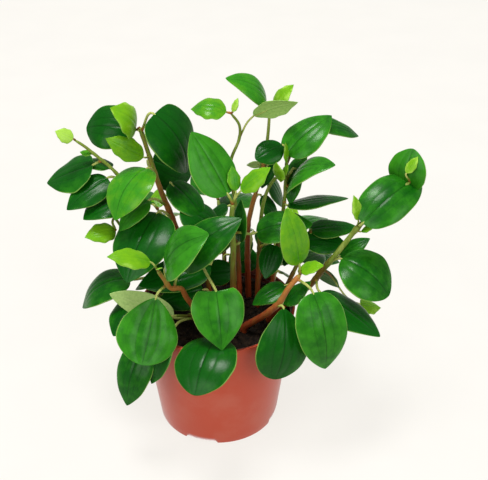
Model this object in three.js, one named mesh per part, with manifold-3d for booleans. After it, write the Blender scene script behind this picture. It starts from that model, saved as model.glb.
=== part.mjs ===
// A potted peperomia in millimetres. Z is up, the underside of the pot stands on z = 0 and the
// origin is the middle of that underside. The most open side of the plant faces -Y.
import * as THREE from "three";
import * as BufferGeometryUtils from "three/addons/utils/BufferGeometryUtils.js";
import Module from "manifold-3d";

const wasm = await Module();
wasm.setup();

// Driving dimensions of the pot
const POT_HEIGHT = 88;
const POT_RIM_RADIUS = 52.5;
const POT_FOOT_RADIUS = 41.5;
const POT_WALL = 1.6;
const POT_RIM_LIP = 2.4;
const POT_RIM_LIP_HEIGHT = 5;
const POT_FLOOR_TOP = 4.4;
const POT_SIDES = 40;
const UNDERSIDE_PAD_RADIUS = 24;
const UNDERSIDE_RECESS = 2.4;
const FOOT_RING_WIDTH = 4.5;
const FOOT_NOTCHES = 4;
const FOOT_NOTCH_ANGLE = 30;
const FOOT_NOTCH_HEADING = 254;
const DRAIN_HOLES = 8;
const DRAIN_HOLE_RADIUS = 3.5;
const DRAIN_HOLE_SIDES = 10;
const DRAIN_RING_RADIUS = 30;

// How far a cutting tool runs past the face that it cuts
const OVERCUT = 1;

// Driving dimensions of the soil
const SOIL_TOP = 80;
const SOIL_UNEVENNESS = 1.2;
const SOIL_SHOULDER = 2;
const SOIL_WAVE_X = 0.23;
const SOIL_WAVE_Y = 0.19;
const SOIL_RINGS = 2;
const HOLE_SIDES = 8;
const CLEARANCE = 0.35;

// Driving dimensions of the plant
const ROOT_DEPTH_Z = 62;
const BLADE_THICKNESS = 1.0;
const YOUNG_BLADE_THICKNESS = 0.8;
const STEM_SIDES = 6;
const STEM_STEP = 14;
const FREE_ABOVE_SOIL = 2;
const PETIOLE_RADIUS = 0.95;
const YOUNG_PETIOLE_RADIUS = 0.7;
const LONG_PETIOLE = 12;
const NARROW_BLADE = 16;
const WIDE_BLADE = 33;

// How the width of each kind of blade runs: the exponent at its base and at its point, how far
// its shoulders reach back behind its base, and how deeply it is cupped across.
const BLADE_KINDS = {
  broad: { base: 0.55, point: 0.55, shoulder: 0.0, cup: 0.12 },
  oval: { base: 0.5, point: 0.72, shoulder: 0.02, cup: 0.12 },
  heart: { base: 0.48, point: 0.85, shoulder: 0.14, cup: 0.12 },
  egg: { base: 0.42, point: 0.72, shoulder: 0.05, cup: 0.12 },
  drop: { base: 0.8, point: 0.5, shoulder: 0.0, cup: 0.12 },
  young: { base: 0.62, point: 0.85, shoulder: 0.0, cup: 0.15 },
};

// Leafy stems: name, radius at the root and at the tip, the points that the stem runs through,
// and its leaves. A leaf says how far up the stem its petiole starts (0 root, 1 tip), where the
// petiole meets the blade, the blade's heading, rise and roll in degrees, its length, width and
// bend, its kind, and any points that a long petiole runs through.
const LEAFY_STEMS = [
  ["stem_rear_left", 2.8, 1.3, [
    [-16, 13, 84], [-22, 17, 118], [-30, 21, 144],
    [-37, 24, 164], [-43, 27, 186], [-48, 30, 204],
  ], [
    [0.98, [-38, 26, 215], -5, -65, 25, 43, 41, 80, "egg"],
    [0.96, [-52, 38, 199], 165, -5, -50, 33, 30, 80, "broad"],
    [1.00, [-51, 30, 202], -145, 50, -50, 24, 23, 95, "young"],
    [0.86, [-46, 22, 187], -165, 35, -70, 27, 15, 15, "young"],
    [0.78, [-44, 18, 181], -125, -35, 5, 38, 33, 80, "oval"],
    [0.62, [-44, 14, 160], -145, -35, -5, 26, 18, 45, "oval"],
    [0.60, [-42, 36, 178], 35, -35, 65, 34, 32, 15, "broad"],
    [0.56, [-38, 10, 153], -115, -35, 0, 49, 40, 55, "oval"],
  ]],
  ["stem_far_left", 1.9, 0.9, [
    [-27, 22, 84], [-37, 24, 117], [-51, 25, 151],
    [-66, 26, 175], [-77, 28, 185], [-84, 29, 191], [-90, 30, 195],
  ], [
    [1.00, [-91, 30, 196], -170, 30, -50, 12, 10, 20, "young"],
    [0.90, [-80, 29, 186], 155, -5, -30, 9, 5, 20, "young"],
    [0.86, [-80, 29, 178], 175, -25, -20, 34, 32, 10, "oval"],
    [0.74, [-71, 26, 170], -145, -25, -20, 32, 22, 30, "oval"],
    [0.78, [-69, 30, 175], 145, 0, 0, 22, 15, 20, "oval"],
    [0.62, [-62, 22, 158], -145, -15, -5, 28, 26, 40, "oval"],
  ]],
  ["stem_left", 1.8, 0.8, [
    [-28, 5, 84], [-42, 9, 103], [-54, 12, 124],
    [-63, 16, 139], [-67, 15, 146], [-68, 13, 144], [-66, 11, 140],
  ], [
    [1.00, [-66, 11, 139], -155, 0, -30, 20, 15, 60, "young"],
    [0.44, [-58, 4, 105], -170, -30, -5, 37, 31, 95, "oval"],
    [0.30, [-49, -3, 91], -125, -15, 0, 31, 29, 70, "oval"],
    [0.36, [-34, 8, 110], -175, -35, 0, 25, 17, 30, "oval"],
  ]],
  ["stem_front_left", 2.5, 1.2, [
    [-8, -18, 84], [-13, -19, 96], [-19, -22, 109],
    [-22, -25, 118], [-28, -29, 121], [-31, -31, 128], [-35, -33, 137],
  ], [
    [1.00, [-39, -34, 144], -160, 20, -25, 27, 15, 45, "young"],
    [1.00, [-35, -33, 138], -60, 35, 0, 7, 4, 20, "young"],
    [0.84, [-37, -35, 118], -105, -45, -30, 41, 39, 15, "drop"],
    [0.86, [-31, -30, 136], -10, 45, 25, 39, 35, 80, "oval"],
    [0.76, [-22, -20, 132], 5, 40, 40, 49, 27, 80, "oval"],
    [0.36, [-45, -39, 86], -125, -60, -5, 42, 26, 60, "oval", [[-34, -31, 98]]],
    [0.34, [-30, -45, 92], -135, -60, 5, 29, 20, 40, "oval", [[-24, -36, 99]]],
    [0.38, [-28, -22, 93], 180, 25, 110, 43, 18, 40, "oval"],
    [0.32, [2, -47, 96], -110, -20, 5, 41, 39, 75, "broad"],
  ]],
  ["stem_inner_left", 1.9, 1.1, [
    [-4, 3, 84], [-7, 4, 108], [-11, 5, 130], [-17, 8, 150], [-23, 14, 161],
  ], [
    [1.00, [-22, 11, 157], -15, -30, 10, 36, 28, 20, "oval"],
    [1.00, [-29, 23, 168], -35, -36, 0, 31, 25, 30, "oval"],
    [0.66, [-4, -2, 121], -165, -10, -30, 47, 26, 20, "oval"],
    [0.30, [-9, -2, 101], -165, -10, -35, 30, 22, 20, "oval"],
    [0.70, [1, -42, 128], -80, -55, 0, 35, 33, 35, "heart", [[-9, -15, 131]]],
  ]],
  ["stem_centre", 2.6, 1.5, [
    [11, -10, 84], [11, -9, 106], [11, -8, 127],
    [11, -6, 142], [10, -5, 155], [11, -5, 168],
  ], [
    [1.00, [8, -5, 175], 150, 55, -20, 43, 31, 15, "oval"],
    [1.00, [16, -6, 178], 5, 40, 30, 23, 14, 30, "young"],
    [1.00, [13, -4, 177], 110, 60, 5, 15, 9, 20, "young"],
    [0.72, [15, -1, 138], 80, 75, -45, 27, 15, 20, "oval"],
    [0.80, [26, 2, 143], 0, 10, 20, 35, 26, 60, "oval"],
  ]],
  ["stem_tall_left", 1.9, 0.8, [
    [15, 10, 84], [14, 14, 122], [12, 17, 159], [9, 19, 176],
    [10, 20, 187], [15, 20, 201], [15, 19, 211], [10, 18, 219],
  ], [
    [1.00, [7, 18, 220], 170, 0, -20, 21, 19, 85, "young"],
    [1.00, [11, 18, 220], 30, 65, 15, 9, 5, 20, "young"],
    [0.88, [24, 19, 217], -20, 25, -55, 30, 16, 30, "young", [[20, 20, 212]]],
    [0.46, [7, 26, 149], -165, -35, -5, 18, 14, 30, "oval"],
    [0.30, [11, 26, 126], -165, -45, 0, 19, 14, 30, "oval"],
    [0.20, [10, 15, 104], 180, -5, -50, 24, 18, 20, "oval"],
  ]],
  ["stem_tall_right", 2.3, 0.9, [
    [21, 20, 84], [21, 23, 138], [26, 28, 159],
    [31, 32, 178], [33, 35, 192], [34, 36, 206], [34, 36, 213],
  ], [
    [1.00, [32, 36, 216], -155, 40, -35, 35, 21, 95, "oval"],
    [1.00, [37, 35, 216], 5, 50, 25, 18, 13, 45, "young"],
    [0.76, [30, 34, 176], 180, -5, 75, 10, 6, 20, "oval"],
    [0.60, [36, 38, 178], -135, -65, 0, 20, 14, 30, "oval"],
    [0.66, [34, 42, 163], -10, -65, 5, 25, 19, 30, "oval"],
    [0.48, [30, 34, 152], -30, -55, 0, 20, 15, 30, "oval"],
    [0.30, [22, 34, 119], -145, -55, 0, 19, 15, 30, "oval"],
    [0.34, [26, 30, 126], -20, -50, 0, 19, 15, 30, "oval"],
  ]],
  ["stem_upper_right", 2.0, 1.0, [
    [27, 9, 84], [28, 13, 118], [29, 16, 143],
    [31, 16, 159], [35, 15, 171], [41, 15, 179],
  ], [
    [1.00, [41, 8, 177], 40, 105, 10, 15, 9, 20, "young"],
    [1.00, [42, 13, 178], -25, 65, 55, 10, 5, 20, "young"],
    [0.52, [38, 6, 131], -115, -50, -5, 22, 16, 20, "oval"],
  ]],
  ["stem_right_rear", 1.9, 1.0, [
    [37, 14, 84], [38, 15, 104], [40, 16, 121],
    [44, 18, 154], [45, 20, 172], [45, 19, 186],
  ], [
    [1.00, [45, 16, 186], 180, 85, -30, 14, 6, 20, "young"],
    [1.00, [45, 20, 190], 30, 30, 15, 37, 27, 45, "oval"],
    [0.98, [63, 38, 204], 20, -25, 20, 35, 17, 40, "oval"],
    [0.86, [48, 18, 166], -35, 40, 20, 40, 25, 95, "oval"],
    [0.88, [51, 26, 177], -105, -60, 10, 23, 12, 20, "oval"],
    [1.00, [42, 21, 196], -150, -15, -35, 19, 17, 30, "broad"],
    [0.76, [46, 13, 157], -5, 10, -10, 38, 24, 20, "oval"],
    [0.84, [47, 28, 170], 40, 35, 5, 19, 12, 20, "oval"],
    [0.40, [49, 24, 124], -135, -75, 0, 19, 15, 30, "oval"],
    [0.16, [42, 20, 101], 45, -45, 0, 22, 18, 20, "oval"],
  ]],
  ["stem_right", 1.9, 1.1, [
    [40, 3, 84], [47, 5, 100], [54, 9, 115], [60, 12, 128], [62, 13, 136],
  ], [
    [1.00, [62, 16, 137], 5, 0, 10, 30, 19, 20, "oval"],
    [0.94, [58, 9, 134], 0, -10, 25, 27, 20, 20, "oval"],
    [0.60, [57, 15, 112], 50, -15, 10, 26, 18, 30, "oval"],
  ]],
  ["stem_front_right", 2.8, 1.5, [
    [18, -20, 83], [30, -26, 97], [40, -30, 110], [46, -30, 122], [53, -26, 129],
  ], [
    [0.66, [43, -35, 110], -105, -65, -35, 45, 35, 75, "drop"],
    [0.96, [61, -34, 121], -60, -70, 10, 50, 34, 80, "oval"],
    [1.00, [53, -18, 132], 155, 75, -30, 38, 22, 30, "oval"],
    [1.00, [53, -20, 129], -25, 25, 25, 17, 11, 30, "young"],
    [0.74, [45, -10, 110], -155, -20, -5, 24, 18, 35, "oval"],
    [0.60, [43, -22, 104], 25, 30, 0, 22, 16, 20, "oval"],
  ]],
  ["stem_far_right", 2.5, 1.2, [
    [35, -8, 83], [46, -5, 92], [62, -1, 104], [69, -2, 116], [76, -4, 128],
    [83, -5, 140], [90, -5, 151], [104, 2, 163], [117, 8, 171], [123, 11, 175],
  ], [
    [0.72, [92, -10, 157], 40, 15, 25, 53, 30, 80, "oval"],
    [0.92, [122, 16, 167], 30, 85, 25, 27, 26, 80, "broad"],
    [0.71, [90, -6, 157], 155, 75, -25, 17, 8, 30, "young"],
    [0.70, [92, -8, 150], -25, 40, 25, 13, 6, 20, "young"],
    [0.52, [81, 5, 123], 10, 30, 15, 22, 14, 30, "oval"],
    [0.50, [81, -6, 128], -25, -30, 20, 37, 36, 80, "broad"],
    [0.43, [67, 5, 112], -20, -35, -75, 18, 12, 35, "oval"],
    [0.40, [68, -14, 107], -35, -20, -5, 46, 31, 15, "oval"],
    [0.46, [97, 4, 85], 10, -20, 5, 15, 16, 10, "young"],
    [1.00, [120, 10, 182], 20, 55, 25, 12, 7, 20, "young"],
    [1.00, [125, 12, 174], -15, 25, 30, 8, 3, 20, "young"],
  ]],
  ["stem_back_left", 2.0, 1.1, [
    [-20, 31, 84], [-25, 39, 102], [-33, 46, 118], [-42, 52, 131],
  ], [
    [1.00, [-46, 55, 134], 130, -10, 0, 33, 25, 25, "oval"],
    [0.86, [-37, 57, 124], 100, -35, 0, 37, 29, 30, "oval"],
    [0.80, [-46, 46, 118], 165, -25, 0, 30, 23, 30, "oval"],
    [0.58, [-31, 49, 107], 115, -50, 0, 36, 27, 30, "oval"],
    [1.00, [-42, 53, 132], 90, 20, 0, 18, 11, 30, "young"],
    [0.45, [-16, 46, 111], -145, -55, 0, 19, 16, 30, "oval"],
  ]],
  ["stem_back", 2.0, 1.1, [
    [4, 34, 84], [4, 41, 104], [2, 48, 122], [0, 54, 138],
  ], [
    [1.00, [-2, 58, 140], 115, 5, 0, 33, 24, 25, "oval"],
    [0.94, [6, 57, 131], 60, -10, 0, 33, 25, 25, "oval"],
    [0.76, [7, 54, 118], 75, -40, 0, 37, 30, 30, "oval"],
    [0.68, [-3, 52, 112], 105, -45, 0, 36, 26, 30, "oval"],
    [1.00, [1, 56, 142], 60, 55, 0, 16, 10, 30, "young"],
    [0.25, [8, 36, 104], -10, -15, 50, 22, 20, 20, "oval"],
  ]],
  ["stem_back_right", 2.0, 1.1, [
    [28, 30, 84], [35, 37, 98], [44, 43, 109], [52, 47, 117],
  ], [
    [1.00, [56, 50, 120], 45, -15, 0, 32, 24, 25, "oval"],
    [0.90, [48, 54, 116], 85, -30, 0, 36, 28, 30, "oval"],
    [0.84, [54, 40, 108], 5, -25, 0, 34, 26, 30, "oval"],
    [0.62, [37, 46, 100], 80, -50, 0, 36, 28, 30, "oval"],
    [1.00, [53, 49, 121], 100, 35, 0, 16, 10, 30, "young"],
  ]],
];

// A closed mesh as a solid, and a solid as a geometry
function solidFromTriangles(points, triangles) {
  const vertProperties = new Float32Array(points.flatMap((point) => [point.x, point.y, point.z]));
  const triVerts = new Uint32Array(triangles.flat());
  return new wasm.Manifold(new wasm.Mesh({ numProp: 3, vertProperties, triVerts }));
}

function solidFromGeometry(geometry) {
  const bare = geometry.clone();
  bare.deleteAttribute("normal");
  bare.deleteAttribute("uv");
  const merged = BufferGeometryUtils.mergeVertices(bare, 1e-4);
  return new wasm.Manifold(new wasm.Mesh({
    numProp: 3,
    vertProperties: Float32Array.from(merged.attributes.position.array),
    triVerts: Uint32Array.from(merged.index.array),
  }));
}

function geometryFromSolid(solid) {
  const mesh = solid.getMesh();
  const geometry = new THREE.BufferGeometry();
  geometry.setAttribute("position", new THREE.BufferAttribute(mesh.vertProperties, 3));
  geometry.setIndex(new THREE.BufferAttribute(mesh.triVerts, 1));
  return geometry;
}

function pieceFromSolid(name, solid, material) {
  const piece = new THREE.Mesh(geometryFromSolid(solid), material);
  piece.name = name;
  return piece;
}

// The radius of the pot's outer wall at height z
function potRadiusAt(z) {
  return POT_FOOT_RADIUS + (POT_RIM_RADIUS - POT_FOOT_RADIUS) * (z / POT_HEIGHT);
}

// A solid of revolution about Z from its outline of [radius, height] pairs
function turnedSolid(outline, sides) {
  const profile = outline.map(([radius, height]) => new THREE.Vector2(radius, height));
  const geometry = new THREE.LatheGeometry(profile, sides);
  geometry.rotateX(Math.PI / 2);
  return solidFromGeometry(geometry);
}

// An upright cylinder between two heights
function uprightCylinder(x, y, radius, bottom, top, sides) {
  const geometry = new THREE.CylinderGeometry(radius, radius, top - bottom, sides);
  geometry.rotateX(Math.PI / 2);
  geometry.translate(x, y, (bottom + top) / 2);
  return solidFromGeometry(geometry);
}

// The pot: a thin tapered wall with a thicker lip, on a foot ring round a recessed underside
function potSolid() {
  const lipFoot = POT_HEIGHT - POT_RIM_LIP_HEIGHT;
  const footInner = POT_FOOT_RADIUS - FOOT_RING_WIDTH;
  let pot = turnedSolid([
    [0, 0],
    [UNDERSIDE_PAD_RADIUS, 0],
    [UNDERSIDE_PAD_RADIUS + UNDERSIDE_RECESS / 2, UNDERSIDE_RECESS],
    [footInner - UNDERSIDE_RECESS / 2, UNDERSIDE_RECESS],
    [footInner, 0],
    [POT_FOOT_RADIUS, 0],
    [POT_RIM_RADIUS, POT_HEIGHT],
    [POT_RIM_RADIUS - POT_RIM_LIP, POT_HEIGHT],
    [potRadiusAt(lipFoot) - POT_RIM_LIP, lipFoot],
    [potRadiusAt(lipFoot - 1) - POT_WALL, lipFoot - 1],
    [potRadiusAt(POT_FLOOR_TOP) - POT_WALL, POT_FLOOR_TOP],
    [0, POT_FLOOR_TOP],
  ], POT_SIDES);
  for (let i = 0; i < FOOT_NOTCHES; i += 1) {
    pot = pot.subtract(footNotch(THREE.MathUtils.degToRad(FOOT_NOTCH_HEADING + (i * 360) / FOOT_NOTCHES)));
  }
  for (let i = 0; i < DRAIN_HOLES; i += 1) {
    const heading = (i * 2 * Math.PI) / DRAIN_HOLES;
    const x = DRAIN_RING_RADIUS * Math.cos(heading);
    const y = DRAIN_RING_RADIUS * Math.sin(heading);
    pot = pot.subtract(uprightCylinder(x, y, DRAIN_HOLE_RADIUS, -OVERCUT, POT_FLOOR_TOP + OVERCUT, DRAIN_HOLE_SIDES));
  }
  return pot;
}

// A shallow gap under the foot ring, as wide as a sector of the ring, that lets water run out
function footNotch(heading) {
  const half = THREE.MathUtils.degToRad(FOOT_NOTCH_ANGLE / 2);
  const outer = POT_FOOT_RADIUS + 3 * OVERCUT;
  const inner = POT_FOOT_RADIUS - FOOT_RING_WIDTH - UNDERSIDE_RECESS;
  const sector = new THREE.Shape();
  sector.absarc(0, 0, outer, heading - half, heading + half, false);
  sector.absarc(0, 0, inner, heading + half, heading - half, true);
  const geometry = new THREE.ExtrudeGeometry(sector, {
    depth: UNDERSIDE_RECESS + OVERCUT,
    bevelEnabled: false,
    curveSegments: 4,
  });
  geometry.translate(0, 0, -OVERCUT);
  return solidFromGeometry(geometry);
}

// The soil: it fills the pot to SOIL_TOP, is uneven on top, and has a plain hole for each stem
function soilSolid() {
  const bottom = POT_FLOOR_TOP + CLEARANCE;
  const wallGap = POT_WALL + CLEARANCE;
  const shoulderZ = SOIL_TOP - SOIL_SHOULDER;
  const shoulderRadius = potRadiusAt(shoulderZ) - wallGap;
  const outline = [
    [0, bottom],
    [potRadiusAt(bottom) - wallGap, bottom],
    [shoulderRadius, shoulderZ],
  ];
  for (let ring = SOIL_RINGS; ring > 0; ring -= 1) {
    outline.push([((shoulderRadius - SOIL_SHOULDER / 2) * ring) / SOIL_RINGS, SOIL_TOP]);
  }
  outline.push([0, SOIL_TOP]);
  const profile = outline.map(([radius, height]) => new THREE.Vector2(radius, height));
  const geometry = new THREE.LatheGeometry(profile, POT_SIDES);
  geometry.rotateX(Math.PI / 2);
  const position = geometry.attributes.position;
  for (let i = 0; i < position.count; i += 1) {
    if (position.getZ(i) > shoulderZ + 1) {
      const wave = Math.sin(position.getX(i) * SOIL_WAVE_X + 1) * Math.cos(position.getY(i) * SOIL_WAVE_Y);
      position.setZ(i, SOIL_TOP + SOIL_UNEVENNESS * wave);
    }
  }
  let soil = solidFromGeometry(geometry);
  for (const [, rootRadius, , path] of LEAFY_STEMS) {
    const [x, y] = path[0];
    const radius = (rootRadius + CLEARANCE) / Math.cos(Math.PI / HOLE_SIDES);
    const floor = ROOT_DEPTH_Z - CLEARANCE;
    soil = soil.subtract(uprightCylinder(x, y, radius, floor, SOIL_TOP + 5 * OVERCUT, HOLE_SIDES));
  }
  return soil;
}

// A closed round tube along a curve, with a ring at each of its stations (shares of its length)
function taperedTube(curve, startRadius, endRadius, stations, sides) {
  const points = [];
  const triangles = [];
  let ahead = curve.getTangentAt(0);
  let normal = new THREE.Vector3(0, 1, 0).cross(ahead).normalize();
  for (const station of stations) {
    const tangent = curve.getTangentAt(station);
    normal = normal.applyQuaternion(new THREE.Quaternion().setFromUnitVectors(ahead, tangent));
    ahead = tangent;
    const binormal = new THREE.Vector3().crossVectors(tangent, normal);
    const centre = curve.getPointAt(station);
    const radius = THREE.MathUtils.lerp(startRadius, endRadius, station);
    for (let j = 0; j < sides; j += 1) {
      const angle = (j * 2 * Math.PI) / sides;
      points.push(centre.clone()
        .addScaledVector(normal, radius * Math.cos(angle))
        .addScaledVector(binormal, radius * Math.sin(angle)));
    }
  }
  const steps = stations.length - 1;
  for (let i = 0; i < steps; i += 1) {
    for (let j = 0; j < sides; j += 1) {
      const a = i * sides + j;
      const b = i * sides + ((j + 1) % sides);
      triangles.push([a, b, b + sides], [a, b + sides, a + sides]);
    }
  }
  const last = steps * sides;
  for (let j = 1; j < sides - 1; j += 1) {
    triangles.push([0, j + 1, j], [last, last + j, last + j + 1]);
  }
  return solidFromTriangles(points, triangles);
}

// Shares of a curve's length from a first one up to 1, in even steps
function evenStations(first, steps) {
  return Array.from({ length: steps + 1 }, (_, i) => THREE.MathUtils.lerp(first, 1, i / steps));
}

// The stem runs straight up out of its hole and then through the points of its path
function stemCurve(path) {
  const [x, y] = path[0];
  const points = [[x, y, ROOT_DEPTH_Z], [x, y, SOIL_TOP], ...path];
  return new THREE.CatmullRomCurve3(points.map((point) => new THREE.Vector3(...point)));
}

function direction(heading, rise) {
  const h = THREE.MathUtils.degToRad(heading);
  const r = THREE.MathUtils.degToRad(rise);
  return new THREE.Vector3(Math.cos(r) * Math.cos(h), Math.cos(r) * Math.sin(h), Math.sin(r));
}

// The axis of a blade from base to point, the way that its upper face looks, and its side
function bladeFrame(heading, rise, roll) {
  const axis = direction(heading, rise);
  const face = direction(heading, rise + 90).applyAxisAngle(axis, THREE.MathUtils.degToRad(roll));
  const side = new THREE.Vector3().crossVectors(face, axis);
  return { axis, face, side };
}

// Half the width of a blade at u (0 base, 1 point), as a share of its greatest half width
function bladeOutline(u, kind) {
  const { base, point } = BLADE_KINDS[kind];
  const peak = base / (base + point);
  return (u ** base * (1 - u) ** point) / (peak ** base * (1 - peak) ** point);
}

// The line of a petiole from the middle of the stem to the base of its blade
function petioleCurve(start, joint, into, route) {
  if (route) {
    const through = route.map((point) => new THREE.Vector3(...point));
    return new THREE.CatmullRomCurve3([start, ...through, joint]);
  }
  const span = start.distanceTo(joint);
  const lift = start.clone().lerp(joint, 0.4).add(new THREE.Vector3(0, 0, 0.12 * span));
  const approach = joint.clone().addScaledVector(into, -0.35 * span);
  return new THREE.CubicBezierCurve3(start, lift, approach, joint);
}

// The corners of a petiole's four-sided rings, in order from the stem to the blade. Each ring
// holds upper left, upper right, lower right, lower left, and the last is as thin as the blade.
function petioleCorners(path, side, into, radius, endHalfThickness, steps) {
  const rings = [];
  let ahead = into;
  let across = side.clone();
  for (let k = steps; k >= 0; k -= 1) {
    const tangent = k === steps ? into : path.getTangentAt(k / steps);
    across = across.applyQuaternion(new THREE.Quaternion().setFromUnitVectors(ahead, tangent));
    ahead = tangent;
    const up = new THREE.Vector3().crossVectors(tangent, across);
    const centre = path.getPointAt(k / steps);
    const halfHeight = THREE.MathUtils.lerp(radius, endHalfThickness, (k / steps) ** 2);
    const corner = (a, b) => centre.clone().addScaledVector(across, a).addScaledVector(up, b);
    rings.unshift([
      corner(-radius, halfHeight),
      corner(radius, halfHeight),
      corner(radius, -halfHeight),
      corner(-radius, -halfHeight),
    ]);
  }
  return rings.flat();
}

// Points of one face of a blade, row by row from its base to its point, the last one the point
// itself. The blade arches along its length and is cupped across.
function bladeFace(leaf, rows, columns, offset) {
  const [, base, heading, rise, roll, length, width, bend, kind] = leaf;
  const { axis, face, side } = bladeFrame(heading, rise, roll);
  const { shoulder, cup } = BLADE_KINDS[kind];
  const turn = THREE.MathUtils.degToRad(bend);
  const arc = length / (2 * Math.sin(turn / 2));

  function pointAt(u, v) {
    const half = u < 1 ? (width / 2) * bladeOutline(u, kind) : 0;
    const phi = turn * (u - 0.5);
    const across = v * half;
    const setBack = shoulder * length * (1 - u) ** 2 * Math.abs(v) ** 1.5;
    const along = length / 2 + arc * Math.sin(phi) - setBack;
    const drop = (cup * across * across) / (width / 2);
    const height = arc * (Math.cos(phi) - Math.cos(turn / 2)) - drop;
    return new THREE.Vector3(...base)
      .addScaledVector(axis, along + offset * Math.sin(phi))
      .addScaledVector(side, across)
      .addScaledVector(face, height + offset * Math.cos(phi));
  }

  const points = [];
  for (let i = 1; i < rows; i += 1) {
    const u = (1 - Math.cos((Math.PI * i) / rows)) / 2;
    for (let j = 0; j <= columns; j += 1) {
      points.push(pointAt(u, (2 * j) / columns - 1));
    }
  }
  points.push(pointAt(1, 0));
  return points;
}

// A leaf as one closed surface: a petiole that starts in the middle of the stem and flattens
// into a thin blade, whose two faces carry the same triangles.
function leafSolid(curve, leaf) {
  const [at, base, heading, rise, roll, , width, bend, kind, route] = leaf;
  const young = kind === "young";
  const { axis, face, side } = bladeFrame(heading, rise, roll);
  const halfBend = THREE.MathUtils.degToRad(bend / 2);
  const into = axis.clone().multiplyScalar(Math.cos(halfBend)).addScaledVector(face, Math.sin(halfBend));
  const start = curve.getPointAt(at);
  const joint = new THREE.Vector3(...base);
  const path = petioleCurve(start, joint, into, route);
  const steps = route ? 5 : path.getLength() > LONG_PETIOLE ? 3 : 2;
  const radius = young ? YOUNG_PETIOLE_RADIUS : PETIOLE_RADIUS;
  const halfThickness = (young ? YOUNG_BLADE_THICKNESS : BLADE_THICKNESS) / 2;
  const rows = width < WIDE_BLADE ? 4 : 5;
  const columns = width < NARROW_BLADE ? 2 : 4;
  const petiole = petioleCorners(path, side, into, radius, halfThickness, steps);
  const upperFace = bladeFace(leaf, rows, columns, halfThickness);
  const lowerFace = bladeFace(leaf, rows, columns, -halfThickness);

  const triangles = [[0, 1, 2], [0, 2, 3]];
  for (let k = 0; k < steps; k += 1) {
    for (let c = 0; c < 4; c += 1) {
      const here = 4 * k + c;
      const next = 4 * k + ((c + 1) % 4);
      triangles.push([here, here + 4, next + 4], [here, next + 4, next]);
    }
  }

  const upperLeft = 4 * steps;
  const upperRight = upperLeft + 1;
  const lowerRight = upperLeft + 2;
  const lowerLeft = upperLeft + 3;
  const below = new Map([[upperLeft, lowerLeft], [upperRight, lowerRight]]);
  const lowerOf = (index) => below.get(index) ?? index + upperFace.length;
  const inRow = (i, j) => petiole.length + (i - 1) * (columns + 1) + j;
  const tip = petiole.length + upperFace.length - 1;
  const upper = [[upperLeft, inRow(1, columns / 2), upperRight]];
  for (let j = 0; j < columns; j += 1) {
    upper.push([j < columns / 2 ? upperLeft : upperRight, inRow(1, j), inRow(1, j + 1)]);
    for (let i = 1; i < rows - 1; i += 1) {
      upper.push([inRow(i, j), inRow(i + 1, j), inRow(i + 1, j + 1)]);
      upper.push([inRow(i, j), inRow(i + 1, j + 1), inRow(i, j + 1)]);
    }
    upper.push([tip, inRow(rows - 1, j + 1), inRow(rows - 1, j)]);
  }
  triangles.push(...upper, ...upper.map(([a, b, c]) => [lowerOf(a), lowerOf(c), lowerOf(b)]));

  const rightEdge = Array.from({ length: rows - 1 }, (_, i) => inRow(i + 1, columns));
  const leftEdge = Array.from({ length: rows - 1 }, (_, i) => inRow(rows - 1 - i, 0));
  const edge = [upperRight, ...rightEdge, tip, ...leftEdge, upperLeft];
  for (let i = 0; i < edge.length - 1; i += 1) {
    const [here, next] = [edge[i], edge[i + 1]];
    triangles.push([here, next, lowerOf(here)], [next, lowerOf(next), lowerOf(here)]);
  }
  return solidFromTriangles([...petiole, ...upperFace, ...lowerFace], triangles);
}

// One leafy stem: the stem and its leaves, grown together as one body
function leafyStemSolid([, rootRadius, tipRadius, path, leaves]) {
  const curve = stemCurve(path);
  const outOfSoil = (SOIL_TOP + FREE_ABOVE_SOIL - ROOT_DEPTH_Z) / curve.getLength();
  const steps = Math.round(curve.getLength() / STEM_STEP);
  const stations = [0, ...evenStations(outOfSoil, steps)];
  let plant = taperedTube(curve, rootRadius, tipRadius, stations, STEM_SIDES);
  for (const leaf of leaves) {
    plant = plant.add(leafSolid(curve, leaf));
  }
  return plant;
}

const terracotta = new THREE.MeshStandardMaterial({ color: 0xb9573b, roughness: 0.45, metalness: 0 });
const peat = new THREE.MeshStandardMaterial({ color: 0x2a1a14, roughness: 0.95, metalness: 0 });
const leafGreen = new THREE.MeshStandardMaterial({ color: 0x2f7d24, roughness: 0.35, metalness: 0 });

const pottedPeperomia = new THREE.Group();
pottedPeperomia.add(pieceFromSolid("pot", potSolid(), terracotta));
pottedPeperomia.add(pieceFromSolid("soil", soilSolid(), peat));
for (const stem of LEAFY_STEMS) {
  pottedPeperomia.add(pieceFromSolid(stem[0], leafyStemSolid(stem), leafGreen));
}

export default pottedPeperomia;
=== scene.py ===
# %% [markdown]
# A potted peperomia: a bushy house plant with round, waxy leaves on branching stems, in a thin
# plastic nursery pot full of peat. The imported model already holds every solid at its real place.
# Here each of those solids gets a finer double: leaves with veins and margins, stems with joints,
# a pot with a rounded lip, and soil that crumbles.

# %% Load the frame and keep its box
import math
import random
from collections import namedtuple

import bmesh
import bpy
from mathutils import Matrix, Vector, noise


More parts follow.
